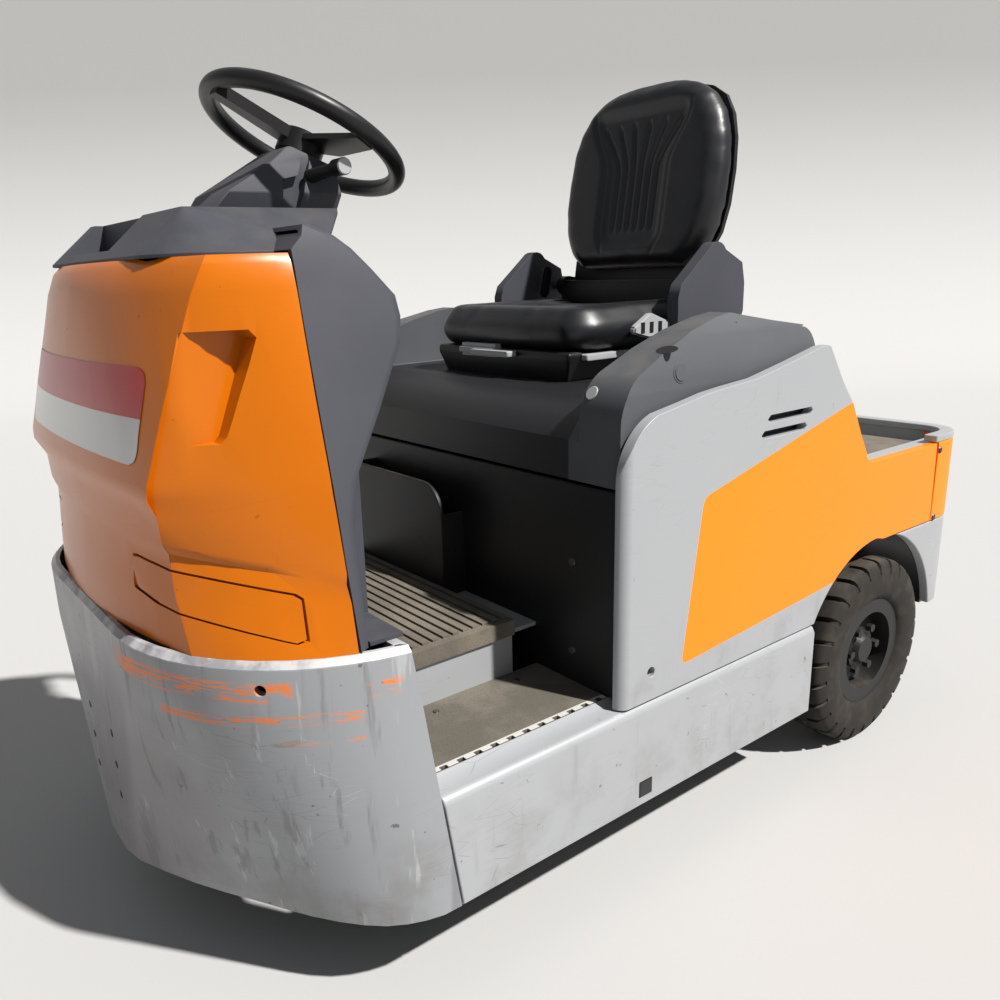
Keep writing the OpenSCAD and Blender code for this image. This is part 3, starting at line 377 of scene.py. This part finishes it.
def plastic(name, colour, rough=0.5, grain=900.0, dust=0.25):
    """Grained plastic, bleached in clouds, with dust where it faces up."""
    s = Surface(name, colour, rough)
    s.shine(0.35)
    bleached = tuple(c * 1.4 + 0.003 for c in colour)
    s.cover(s.ramp(s.noise(5.0, 5.0), 0.35, 0.75, 0.0, 0.35), bleached, rough + 0.1)
    settled = s.times(s.ramp(s.facing("Z"), 0.55, 0.98), s.ramp(s.noise(18.0, 5.0), 0.35, 0.7))
    s.cover(s.times(settled, dust), DUST, 0.8)
    s.bump(s.noise(grain, 2.0), 0.12, 0.0004)
    return s


def grit(name, colour, worn):
    """Rough non-slip rubber or coating, worn pale in patches, with dark grains."""
    s = Surface(name, colour, 0.9)
    s.cover(s.ramp(s.noise(9.0, 6.0), 0.4, 0.65), worn)
    s.cover(s.ramp(s.noise(300.0, 2.0), 0.55, 0.7, 0.0, 0.6), tuple(c * 0.35 for c in colour))
    s.bump(s.noise(1200.0, 2.0), 0.5, 0.001)
    return s


def vinyl(name, colour, grain):
    """Seat vinyl with a leather grain."""
    s = Surface(name, colour, 0.40)
    s.cover(s.ramp(s.noise(16.0, 4.0), 0.5, 0.8, 0.0, 0.25), (0.03, 0.029, 0.028), 0.5)
    s.bump(s.cells(grain), 0.18, 0.0005)
    return s


# The hood's dark middle part reaches this far to each side, and the steps' bare teeth this far in
HOOD_DARK_HALF = 0.354
HOOD_DARK_SOFT = 0.002
STEP_BARE = 0.011
STEP_BARE_SOFT = 0.001


def hood_cover():
    """Grey plastic at the sides, and near black between them."""
    s = plastic("hood_plastic", (0.058, 0.062, 0.070), 0.6, dust=0.15)
    across = s.calc("ABSOLUTE", s.axis("Y"))
    middle = s.ramp(across, HOOD_DARK_HALF - HOOD_DARK_SOFT, HOOD_DARK_HALF + HOOD_DARK_SOFT, 1.0, 0.0)
    s.cover(middle, (0.010, 0.010, 0.012), 0.45)
    return s


def step_cover():
    """Grit with bare metal along the teeth of the outer edge."""
    s = grit("step_grit", (0.085, 0.075, 0.060), (0.125, 0.112, 0.090))
    across = s.calc("ABSOLUTE", s.axis("Y"))
    bare_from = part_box("step_left")[1].y - STEP_BARE
    bare = s.ramp(across, bare_from - STEP_BARE_SOFT, bare_from + STEP_BARE_SOFT)
    s.cover(s.times(bare, s.facing("Z")), (0.46, 0.45, 0.43), 0.5)
    return s


def dusty_rubber():
    s = plastic("tyre_rubber", (0.013, 0.011, 0.009), 0.85, 600.0, 0.2)
    s.cover(s.ramp(s.noise(26.0, 5.0), 0.45, 0.75, 0.0, 0.75), (0.038, 0.031, 0.022), 0.9)
    return s


silver_paint = silver("silver_paint")
bumper_silver = bumper_paint()
panel_two_tone = panel_paint()
# The cowl takes the darker copy of the orange, as painted shade.
orange_cowl = orange("orange_cowl", ORANGE_SHADED, 0.33, 0.22, 0.08)
orange_paint = orange("orange_paint", ORANGE, 0.4, 0.1, 0.2, 1.4)
grey_plastic = plastic("grey_plastic", (0.036, 0.038, 0.048), 0.62, dust=0.08)
hood_plastic = hood_cover()
dark_plastic = plastic("dark_plastic", (0.008, 0.0085, 0.010), 0.45, dust=0.12)
black_plastic = plastic("black_plastic", (0.006, 0.006, 0.007), 0.38, dust=0.1)
seat_vinyl = vinyl("seat_vinyl", (0.006, 0.0065, 0.009), 520.0)
frame_steel = plastic("frame_steel", (0.012, 0.012, 0.013), 0.5, dust=0.3)
lever_plastic = plastic("lever_plastic", (0.30, 0.31, 0.32), 0.35, dust=0.1)
pin_steel = Surface("pin_steel", (0.3, 0.3, 0.31), 0.35, 1.0)
step_grit = step_cover()
mat_rubber = grit("mat_rubber", (0.100, 0.086, 0.068), (0.145, 0.125, 0.098))
rim_paint = plastic("rim_paint", (0.010, 0.0098, 0.0095), 0.5, dust=0.15)
tyre_rubber = dusty_rubber()
battery_case = plastic("battery_case", (0.05, 0.05, 0.055), 0.6)
screw_steel = Surface("screw_steel", (0.09, 0.088, 0.085), 0.4, 0.8)
screw_black = Surface("screw_black", (0.008, 0.008, 0.009), 0.4)
blank_plate = Surface("blank_plate", (0.40, 0.385, 0.38), 0.3, 0.0, 0.4, 0.1)
blank_red = Surface("blank_red", (0.36, 0.022, 0.024), 0.35, 0.0, 0.2, 0.1)
blank_red.shine(0.25)

# The finish of each material slot, and the nodes that have one of their own
LOOKS = {
    "frame_steel": frame_steel, "silver_paint": silver_paint, "orange_paint": orange_paint,
    "orange_cowl": orange_cowl, "grey_plastic": grey_plastic, "black_plastic": black_plastic,
    "step_grit": step_grit, "mat_rubber": mat_rubber, "seat_vinyl": seat_vinyl,
    "lever_plastic": lever_plastic, "battery": battery_case, "cast_black": frame_steel,
    "pin_steel": pin_steel, "rim_paint": rim_paint, "tyre": tyre_rubber,
}
SPECIAL = {
    "battery_hood": hood_plastic, "seat_box_front": dark_plastic, "storage_pocket": dark_plastic,
    "front_bumper": bumper_silver, "side_panel_left": panel_two_tone, "side_panel_right": panel_two_tone,
}
SLOT_OF = {p["node"]: p["material_slot"] for p in frame["record"]["subparts"]}


def dress(node, surface):
    o = NODES[node]
    o.data.materials.clear()
    o.data.materials.append(surface.m)


for name in NODES:
    dress(name, SPECIAL.get(name, LOOKS[SLOT_OF[name]]))

# Rounded edges: how far each kind of piece is broken at its edges, in metres
EDGE_SOFT = {
    "side_panel_left": 0.006, "side_panel_right": 0.006, "battery_hood": 0.014, "front_cowl": 0.003,
    "console_shell": 0.004, "front_bumper": 0.003, "column_housing": 0.014, "seat_levers": 0.004,
    "seat_base": 0.006, "seat_hinge_covers": 0.014, "seat_back_shell": 0.008, "storage_pocket": 0.003,
    "seat_box_front": 0.004, "rear_corner_posts": 0.004, "rear_skirt": 0.003, "sill_left": 0.003,
    "sill_right": 0.003, "rear_rail": 0.003, "rear_panel": 0.002, "floor_platform": 0.002,
    "stalks": 0.002, "pedals": 0.003, "step_left": 0.001, "step_right": 0.001, "front_fork": 0.003,
    "steering_wheel": 0.003, "rear_bulkhead": 0.003,
}
EDGE_ANGLE = math.radians(38)
EDGE_STEPS = 3
SMOOTH_ANGLE = math.radians(50)
WELD = 0.00002
# Nodes whose flat faces are joined first, so that no line shows between a hole and a far corner
FLAT_FACED = ("front_bumper", "column_housing", "seat_hinge_covers", "battery_hood", "side_panel_left",
              "side_panel_right", "seat_back_shell")
FLAT_ANGLE = math.radians(0.5)


def smoothing():
    """A node group that shades smooth, except over edges sharper than SMOOTH_ANGLE."""
    g = bpy.data.node_groups.new("smooth_by_angle", "GeometryNodeTree")
    g.interface.new_socket("Geometry", in_out="INPUT", socket_type="NodeSocketGeometry")
    g.interface.new_socket("Geometry", in_out="OUTPUT", socket_type="NodeSocketGeometry")
    start = g.nodes.new("NodeGroupInput")
    end = g.nodes.new("NodeGroupOutput")
    faces = g.nodes.new("GeometryNodeSetShadeSmooth")
    faces.domain = "FACE"
    faces.inputs["Shade Smooth"].default_value = True
    edges = g.nodes.new("GeometryNodeSetShadeSmooth")
    edges.domain = "EDGE"
    angle = g.nodes.new("GeometryNodeInputMeshEdgeAngle")
    under = g.nodes.new("ShaderNodeMath")
    under.operation = "LESS_THAN"
    under.inputs[1].default_value = SMOOTH_ANGLE
    g.links.new(angle.outputs["Unsigned Angle"], under.inputs[0])
    g.links.new(start.outputs[0], faces.inputs["Geometry"])
    g.links.new(faces.outputs[0], edges.inputs["Geometry"])
    g.links.new(under.outputs[0], edges.inputs["Shade Smooth"])
    g.links.new(edges.outputs[0], end.inputs[0])
    return g


SMOOTHING = smoothing()


def soften(node, width):
    """Joins the split corners of a CAD mesh and breaks its edges, as modifiers alone."""
    o = NODES[node]
    weld = o.modifiers.new("weld", "WELD")
    weld.merge_threshold = WELD
    if node in FLAT_FACED:
        flat = o.modifiers.new("flat", "DECIMATE")
        flat.decimate_type = "DISSOLVE"
        flat.angle_limit = FLAT_ANGLE
    edge = o.modifiers.new("edge", "BEVEL")
    edge.width = width
    edge.segments = EDGE_STEPS
    edge.limit_method = "ANGLE"
    edge.angle_limit = EDGE_ANGLE
    edge.use_clamp_overlap = True
    shade = o.modifiers.new("shade", "NODES")
    shade.node_group = SMOOTHING
    even = o.modifiers.new("even", "WEIGHTED_NORMAL")
    even.keep_sharp = True


for name, width in EDGE_SOFT.items():
    soften(name, width)


# Shapes: a mesh becomes a piece that rides on a body
def from_mesh(name, bm, surface, body, smooth=True):
    me = bpy.data.meshes.new(name)
    bm.to_mesh(me)
    bm.free()
    me.materials.append(surface.m)
    me.polygons.foreach_set("use_smooth", [smooth] * len(me.polygons))
    o = bpy.data.objects.new(name, me)
    bpy.context.collection.objects.link(o)
    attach(o, body)
    return o


def skin(bm, rows):
    """Faces between each row of vertices and the next."""
    for low, high in zip(rows, rows[1:]):
        for i in range(len(low) - 1):
            bm.faces.new((low[i], low[i + 1], high[i + 1], high[i]))
    bmesh.ops.recalc_face_normals(bm, faces=bm.faces)


def aim(direction):
    return Vector(direction).to_track_quat("Z", "Y").to_matrix().to_4x4()


def heads(name, spots, surface, body, sides=18, taper=0.8):
    """One mesh of low round heads. Each spot is a place, a direction, a radius and a height."""
    bm = bmesh.new()
    for place, direction, radius, height in spots:
        way = Vector(direction).normalized()
        at = Matrix.Translation(Vector(place) + way * height / 2) @ aim(way)
        bmesh.ops.create_cone(bm, cap_ends=True, segments=sides, radius1=radius, radius2=radius * taper,
                              depth=height, matrix=at)
    return from_mesh(name, bm, surface, body, False)


def block(name, low, high, surface, body, edge=0.002, turn=None):
    """A box between two corners, with broken edges, turned about its middle."""
    bm = bmesh.new()
    size = Vector(high) - Vector(low)
    mid = (Vector(high) + Vector(low)) / 2
    at = Matrix.Translation(mid) @ (turn or Matrix.Identity(4)) @ Matrix.Diagonal((*size, 1))
    bmesh.ops.create_cube(bm, size=1, matrix=at)
    if edge:
        bmesh.ops.bevel(bm, geom=bm.edges[:], offset=edge, segments=2, affect="EDGES")
    return from_mesh(name, bm, surface, body, False)


# Where lines meet the CAD pieces
TREES = {}


def hit(node, start, way):
    """The point and normal where a line first meets a CAD node."""
    if node not in TREES:
        me = NODES[node].data
        TREES[node] = BVHTree.FromPolygons([v.co for v in me.vertices], [p.vertices[:] for p in me.polygons])
    point, normal, _, _ = TREES[node].ray_cast(Vector(start), Vector(way))
    return point, normal


LEFT = (0, 1, 0)
RIGHT = (0, -1, 0)
FRONT = (1, 0, 0)
BACK = (-1, 0, 0)
UP = (0, 0, 1)

# Blank plate on the visor: its half width, its foot, its middle and its top, and its corners' radius
PLATE_HALF = 0.285
PLATE_Z = (0.822, 0.880, 0.942)
PLATE_CORNER = 0.022
PLATE_LIFT = 0.0012
PLATE_STEPS = (24, 12)
AHEAD = 1.2


def lay(name, low, high, round_z, surface):
    """A thin plate on the cowl between two heights, with round corners at the height round_z."""
    across, up = PLATE_STEPS
    bm = bmesh.new()
    rows = []
    for k in range(up + 1):
        z = low + (high - low) * k / up
        gap = max(0.0, PLATE_CORNER - abs(z - round_z))
        half = PLATE_HALF - PLATE_CORNER + math.sqrt(PLATE_CORNER ** 2 - gap ** 2)
        row = []
        for i in range(across + 1):
            point, _ = hit("front_cowl", (AHEAD, half * (2 * i / across - 1), z), BACK)
            row.append(bm.verts.new(point + Vector(FRONT) * PLATE_LIFT))
        rows.append(row)
    skin(bm, rows)
    from_mesh(name, bm, surface, "chassis")


lay("visor_plate_low", PLATE_Z[0], PLATE_Z[1], PLATE_Z[0], blank_plate)
lay("visor_plate_high", PLATE_Z[1], PLATE_Z[2], PLATE_Z[2], blank_red)


# Bolts, screws and small trim
def both(place):
    """The same place on both sides."""
    return [place, (place[0], -place[1], place[2])]


side_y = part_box("rear_corner_posts")[1].y
front_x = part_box("seat_box_front")[1].x
step_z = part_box("step_left")[1].z
post_places = ((-0.790, 0.621), (-0.794, 0.465))
pillar_places = [p for z in (0.560, 0.397) for p in both((front_x, 0.363, z))]
step_places = [p for x in (0.466, 0.290) for p in both((x, 0.300, step_z))]
post_spots = [((x, y, z), way, 0.008, 0.002) for y, way in ((side_y, LEFT), (-side_y, RIGHT))
              for x, z in post_places]
heads("post_screws", post_spots, screw_black, "chassis")
heads("pillar_screws", [(p, FRONT, 0.0075, 0.003) for p in pillar_places], screw_steel, "chassis")
heads("step_screws", [(p, UP, 0.006, 0.002) for p in step_places], screw_steel, "chassis")

# A small plain socket in each sill, sunk by SOCKET_IN and proud by SOCKET_OUT
SOCKET_LOW = (0.155, 0.158)
SOCKET_HIGH = (0.187, 0.188)
SOCKET_IN = 0.001
SOCKET_OUT = 0.0015
sill_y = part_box("sill_left")[1].y
for side in (1, -1):
    low, high = sorted((side * (sill_y - SOCKET_IN), side * (sill_y + SOCKET_OUT)))
    block(f"sill_socket_{side}", (SOCKET_LOW[0], low, SOCKET_LOW[1]), (SOCKET_HIGH[0], high, SOCKET_HIGH[1]),
          screw_black, "chassis", 0.001)

# Trim on the hood's side
HOOD_SIDE = (0, 0.98, 0.17)
heads("hood_disc", [((0.200, 0.392, 0.848), (0.86, 0, 0.52), 0.012, 0.0015)], lever_plastic, "hood", 32, 0.9)
ring_spots = [((0.074, 0.463, 0.872), HOOD_SIDE, 0.017, 0.0015),
              ((0.074, 0.4645, 0.872), HOOD_SIDE, 0.013, 0.0015)]
heads("hood_ring", ring_spots, hood_plastic, "hood", 40, 0.93)


OVAL_LIFT = 0.0006


def oval(name, mid, normal, along, size, surface, body, sides=28):
    """A thin flat oval: size is its half length and half width."""
    n = Vector(normal).normalized()
    u = (Vector(along) - n * n.dot(Vector(along))).normalized()
    v = n.cross(u)
    bm = bmesh.new()
    at = Vector(mid) + n * OVAL_LIFT
    ring = [bm.verts.new(at + u * (size[0] * math.cos(a)) + v * (size[1] * math.sin(a)))
            for a in [math.tau * i / sides for i in range(sides)]]
    bm.faces.new(ring)
    return from_mesh(name, bm, surface, body, False)


# Painted shade: flat black ovals stand for the shade inside a hole and a slot in the hood.
oval("hood_hole_shade", (0.092, 0.451, 0.910), (0.39, 0, 0.92), (1, 0, 0), (0.013, 0.020), screw_black, "hood")
oval("hood_slot_shade", (-0.088, 0.415, 0.946), (0.1, 0.35, 0.93), (-0.5, 0.6, 0), (0.030, 0.006), screw_black,
     "hood")

# Seat: handle, lever, buckle, and a black block in the gap behind the cushion, as painted shade in that gap
HANDLE_HALF = 0.118
LEVER_OUTLINE = ((-0.150, 0.912), (-0.150, 0.935), (-0.095, 0.955), (-0.050, 0.930), (-0.050, 0.918),
                 (-0.090, 0.908))
LEVER_THICK = 0.014
LEVER_GAP = 0.002
LEVER_EDGE = 0.003
SLOTS = 3
SLOT_START = -0.125
SLOT_PITCH = 0.024
SLOT_LONG = 0.010
SLOT_Z = (0.918, 0.938)
SLOT_IN = 0.0005
SLOT_OUT = 0.0008
cushion_low, cushion_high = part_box("seat_cushion")
lever_y = cushion_high.y + LEVER_GAP


def seat_lever():
    """A flat lever beside the cushion: its outline in x and z, drawn out across."""
    bm = bmesh.new()
    face_y = lever_y + LEVER_THICK
    inner, outer = [[bm.verts.new((x, y, z)) for x, z in LEVER_OUTLINE] for y in (lever_y, face_y)]
    bm.faces.new(inner)
    bm.faces.new(outer[::-1])
    for i in range(len(LEVER_OUTLINE)):
        bm.faces.new((inner[i - 1], outer[i - 1], outer[i], inner[i]))
    bmesh.ops.recalc_face_normals(bm, faces=bm.faces)
    bmesh.ops.bevel(bm, geom=bm.edges[:], offset=LEVER_EDGE, segments=2, affect="EDGES")
    from_mesh("seat_lever", bm, lever_plastic, "hood", False)
    # Painted shade: thin black blocks on the lever's face stand for the shade in its slots.
    for i in range(SLOTS):
        x = SLOT_START + SLOT_PITCH * i
        low = (x, face_y - SLOT_IN, SLOT_Z[0])
        high = (x + SLOT_LONG, face_y + SLOT_OUT, SLOT_Z[1])
        block(f"seat_lever_slot_shade_{i}", low, high, screw_black, "hood", 0)


block("seat_handle", (cushion_high.x - 0.026, -HANDLE_HALF, cushion_low.z - 0.018),
      (cushion_high.x + 0.006, 0.006, cushion_low.z + 0.008), lever_plastic, "hood", 0.008)
seat_lever()
# Painted shade: a black block fills the gap behind the cushion so that the gap shows dark.
block("seat_gap_shade_block", (cushion_low.x - 0.030, -0.195, cushion_low.z + 0.010),
      (cushion_low.x + 0.012, 0.195, 1.012), black_plastic, "hood", 0.006)
block("belt_buckle", (-0.262, -0.212, 0.975), (-0.236, -0.196, 1.045), black_plastic, "hood", 0.005,
      Matrix.Rotation(math.radians(-12), 4, "Y"))
stalk_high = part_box("stalks")[1]
heads("stalk_ring", [((0.478, stalk_high.y, 1.204), LEFT, 0.0125, 0.003)], lever_plastic, "chassis", 32, 0.9)

# Tyres with their road tread: how many blocks, how deep the grooves are, and how far they lean and are
# set off from one shoulder to the other
BLOCKS = 26
GROOVE_DEPTH = 0.009
SLANT = 0.055
STAGGER = 0.25
RIB_HALF = 0.012
BEAD_R = 0.118
SPLIT_ANGLE = math.radians(40)
# The places round one block where a row of points stands, each with 1 in a groove
CUTS = ((0.0, 0), (0.035, 1), (0.19, 1), (0.225, 0), (0.48, 0), (0.74, 0))


def tyre_section(r, half):
    """Half a tyre's section from bead to middle: radius, half width, and 1 where grooves cut."""
    side = [(BEAD_R - 0.004, half - 0.018), (BEAD_R + 0.004, half - 0.006), (BEAD_R + 0.016, half - 0.002),
            (BEAD_R + 0.034, half), (r - 0.030, half - 0.001)]
    shoulder = [(r - 0.026, half - 0.002), (r - 0.012, half - 0.005), (r - 0.004, half - 0.010),
                (r - 0.001, half - 0.017), (r, half - 0.030), (r, 0.012)]
    rib = [(r - 0.0005, 0.010), (r - 0.007, 0.006), (r - 0.007, 0.0)]
    return [(*p, 0) for p in side] + [(*p, 1) for p in shoulder] + [(*p, 0) for p in rib]


def tread(node, body):
    """A tyre with slanted blocks on both shoulders, in the space of its CAD solid."""
    low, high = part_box(node)
    mid = (low + high) / 2
    half = (high.y - low.y) / 2
    section = tyre_section((high.x - low.x) / 2, half)
    outline = [(rad, w, cut, 1) for rad, w, cut in section]
    outline += [(rad, -w, cut, -1) for rad, w, cut in section[-2::-1]]
    bm = bmesh.new()
    rows = []
    for b in range(BLOCKS):
        for phase, deep in CUTS:
            row = []
            for rad, w, cut, side in outline:
                shift = side * STAGGER * min(1, abs(w) / RIB_HALF) / BLOCKS
                angle = math.tau * ((b + phase) / BLOCKS + shift) + SLANT * abs(w) / half
                r = rad - GROOVE_DEPTH * deep * cut
                point = (mid.x + r * math.cos(angle), mid.y + w, mid.z + r * math.sin(angle))
                row.append(bm.verts.new(point))
            rows.append(row)
    rows.append(rows[0])
    skin(bm, rows)
    o = from_mesh(node + "_tread", bm, tyre_rubber, body)
    edge = o.modifiers.new("edge", "EDGE_SPLIT")
    edge.split_angle = SPLIT_ANGLE
    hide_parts(node)
    return mid


# Hub cap and wheel nuts: radii, height, and where a line across meets the rim's face
HUB_R = 0.034
NUT_RING_R = 0.050
NUT_R = 0.0095
NUT_HIGH = 0.012
NUT_COUNT = 6
FACE_AT = 0.045
BESIDE = 0.3


def hub(node, body, mid):
    """A cap and nuts on the rim's outer face. The middle wheel's are on its left."""
    side = -1 if mid.y < -0.1 else 1
    out = (0, side, 0)
    start = (mid.x + FACE_AT, mid.y + side * BESIDE, mid.z)
    face, _ = hit(node.replace("tyre", "rim"), start, (0, -side, 0))
    heads(node + "_hub", [((mid.x, face.y, mid.z), out, HUB_R, NUT_HIGH)], rim_paint, body, 32)
    nuts = []
    for i in range(NUT_COUNT):
        a = math.tau * i / NUT_COUNT
        place = (mid.x + NUT_RING_R * math.cos(a), face.y, mid.z + NUT_RING_R * math.sin(a))
        nuts.append((place, out, NUT_R, NUT_HIGH))
    heads(node + "_nuts", nuts, rim_paint, body, 6, 1.0)


for node, body in (("rear_tyre_left", "rear_wheel_left"), ("rear_tyre_right", "rear_wheel_right"),
                   ("front_tyre", "front_wheel")):
    hub(node, body, tread(node, body))

# Seat: soft vinyl over foam, puffed a little by cloth, then its channels pressed in
VOXEL = 0.006
PRESSURE = 3.0
PUFF_MOST = 0.004
PUFF_FRAMES = 20
CALM = 16


def soft(node, shrink, carve, body, shape=None):
    """A padded piece in place of a CAD solid."""
    bm = bmesh.new()
    bm.from_mesh(NODES[node].data)
    bmesh.ops.remove_doubles(bm, verts=bm.verts, dist=WELD)
    mid = sum((v.co for v in bm.verts), Vector()) / len(bm.verts)
    for v in bm.verts:
        v.co = mid + (v.co - mid) * shrink
        if shape:
            v.co = shape(v.co)
    o = from_mesh(node + "_soft", bm, seat_vinyl, body)
    remesh = o.modifiers.new("remesh", "REMESH")
    remesh.mode = "VOXEL"
    remesh.voxel_size = VOXEL
    remesh.use_smooth_shade = True
    apply_all(o)
    puff(o)
    calm = o.modifiers.new("calm", "SMOOTH")
    calm.factor = 0.5
    calm.iterations = CALM
    finer = o.modifiers.new("finer", "SUBSURF")
    finer.levels = 1
    finer.render_levels = 1
    apply_all(o)
    normals = [v.normal.copy() for v in o.data.vertices]
    for v, normal in zip(o.data.vertices, normals):
        v.co += carve(v.co, normal)
    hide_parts(node)


def apply_all(o):
    """Turns a piece's modifiers into its mesh."""
    graph = bpy.context.evaluated_depsgraph_get()
    me = bpy.data.meshes.new_from_object(o.evaluated_get(graph))
    o.modifiers.clear()
    old = o.data
    o.data = me
    bpy.data.meshes.remove(old)


def puff(o):
    """Blows the piece up as cloth, and lets no point go further than PUFF_MOST."""
    rest = [v.co.copy() for v in o.data.vertices]
    cloth = o.modifiers.new("cloth", "CLOTH")
    cloth.settings.use_pressure = True
    cloth.settings.uniform_pressure_force = PRESSURE
    cloth.settings.effector_weights.gravity = 0
    cloth.point_cache.frame_start = 1
    cloth.point_cache.frame_end = PUFF_FRAMES
    for f in range(1, PUFF_FRAMES + 1):
        bpy.context.scene.frame_set(f)
    apply_all(o)
    bpy.context.scene.frame_set(1)
    for v, old in zip(o.data.vertices, rest):
        move = v.co - old
        if move.length > PUFF_MOST:
            v.co = old + move * (PUFF_MOST / move.length)


def bell(v, width):
    """1 at 0, and close to 0 beyond the width."""
    return math.exp(-(v / width) ** 2)


def rise(v, a, b):
    """Goes smoothly from 0 to 1 while v goes from a to b."""
    t = min(1.0, max(0.0, (v - a) / (b - a)))
    return t * t * (3 - 2 * t)


# Backrest: its pivot and tilt, where its channels lie across it, and how far up they start, fan out and end
RECLINE = {j["name"]: j for j in frame["joints"]}["backrest_recline"]
SEAT_BACK_TILT = math.radians(9)
CHANNELS = (-0.055, -0.033, -0.011, 0.011, 0.033, 0.055)
CHANNEL_FOOT = 0.105
CHANNEL_TOP = 0.265
FAN_TOP = 0.345
FAN_OUT = 1.1
CHANNEL_DEPTH = 0.007
CHANNEL_HALF = 0.0042
INSERT_DEPTH = 0.012
SEAM_DEPTH = 0.004
SEAM_HALF = 0.004


def height_up(co):
    """Height up the backrest from its pivot, along its own tilt."""
    d = co - Vector(RECLINE["pos_m"])
    return d.z * math.cos(SEAT_BACK_TILT) - d.x * math.sin(SEAT_BACK_TILT)


# Share of the backrest's width at heights up it, as it narrows to its top
BACK_TAPER = ((0.00, 1.0), (0.26, 1.0), (0.32, 0.99), (0.37, 0.96), (0.41, 0.92), (0.45, 0.88))


def taper_back(co):
    up = height_up(co)
    scale = BACK_TAPER[-1][1]
    for (u0, k0), (u1, k1) in zip(BACK_TAPER, BACK_TAPER[1:]):
        if u0 <= up < u1:
            scale = k0 + (k1 - k0) * (up - u0) / (u1 - u0)
            break
    return Vector((co.x, co.y * scale, co.z))


def insert_half(up):
    """Half width of the sewn insert, narrow at its foot and wide at the shoulders."""
    return 0.085 + 0.045 * rise(up, 0.24, 0.36) - 0.02 * rise(up, 0.12, 0.04)


def carve_back(co, normal):
    """How far a point of the backrest's front is pressed in."""
    front = rise(normal.x, 0.2, 0.7)
    if not front:
        return Vector()
    up = height_up(co)
    across = abs(co.y)
    edge = insert_half(up)
    ends = rise(up, 0.07, 0.10) * rise(FAN_TOP + 0.02 - up, -0.015, 0.02)
    depth = INSERT_DEPTH * rise(edge - across, -0.018, 0.018) * ends
    fan = 1 + FAN_OUT * rise(up, CHANNEL_TOP - 0.03, FAN_TOP + 0.02)
    window = rise(up, CHANNEL_FOOT, CHANNEL_FOOT + 0.02) * rise(FAN_TOP - up, 0, 0.02)
    for y in CHANNELS:
        depth += CHANNEL_DEPTH * window * bell(co.y - y * fan, CHANNEL_HALF)
    seam_ends = rise(up, 0.05, 0.09) * rise(FAN_TOP + 0.03 - up, 0, 0.02)
    depth += SEAM_DEPTH * bell(across - edge - SEAM_HALF, SEAM_HALF) * seam_ends
    return -normal * depth * front


# Cushion: a sewn insert with cross channels, at distances from its front, between two raised sides
CROSS = (0.08, 0.13, 0.18, 0.23)
CROSS_DEPTH = 0.006
CROSS_HALF = 0.0045
CUSHION_INSERT = 0.135
CUSHION_DEPTH = 0.010
CUSHION_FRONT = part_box("seat_cushion")[1].x


def carve_cushion(co, normal):
    """How far a point of the cushion's top is pressed in."""
    top = rise(normal.z, 0.3, 0.8)
    if not top:
        return Vector()
    back = CUSHION_FRONT - co.x
    across = abs(co.y)
    depth = CUSHION_DEPTH * rise(CUSHION_INSERT - across, -0.02, 0.02) * rise(back, 0.05, 0.09)
    between = rise(CUSHION_INSERT - 0.005 - across, -0.005, 0.01)
    for x in CROSS:
        depth += CROSS_DEPTH * between * bell(back - x, CROSS_HALF)
    depth += SEAM_DEPTH * bell(across - CUSHION_INSERT - 0.005, SEAM_HALF) * rise(back, 0.04, 0.08)
    return -normal * depth * top


soft("seat_backrest", 0.985, carve_back, "backrest", taper_back)
soft("seat_cushion", 0.97, carve_cushion, "hood")

# Floor, curving up into a backdrop behind the piece as the camera sees it
FLOOR_NEAR = 40.0
FLOOR_FAR = 5.0
CURVE_R = 3.0
CURVE_STEPS = 12
WALL_TOP = 9.0
HALF_WIDE = 40.0


def add_floor():
    look = Vector((math.cos(CAM_YAW), math.sin(CAM_YAW), 0))
    beside = Vector((-look.y, look.x, 0))
    sweep = [(-FLOOR_NEAR, 0.0), (FLOOR_FAR, 0.0)]
    for i in range(1, CURVE_STEPS + 1):
        a = math.pi / 2 * i / CURVE_STEPS
        sweep.append((FLOOR_FAR + CURVE_R * math.sin(a), CURVE_R * (1 - math.cos(a))))
    sweep.append((FLOOR_FAR + CURVE_R, WALL_TOP))
    bm = bmesh.new()
    made = [[bm.verts.new(look * run + beside * side * HALF_WIDE + Vector((0, 0, z))) for side in (1, -1)]
            for run, z in sweep]
    for a, b in zip(made, made[1:]):
        bm.faces.new((a[0], a[1], b[1], b[0]))
    me = bpy.data.meshes.new("floor")
    bm.to_mesh(me)
    bm.free()
    me.polygons.foreach_set("use_smooth", [True] * len(me.polygons))
    me.materials.append(Surface("floor", (0.36, 0.36, 0.36), 0.9).m)
    floor = bpy.data.objects.new("floor", me)
    bpy.context.collection.objects.link(floor)


add_floor()
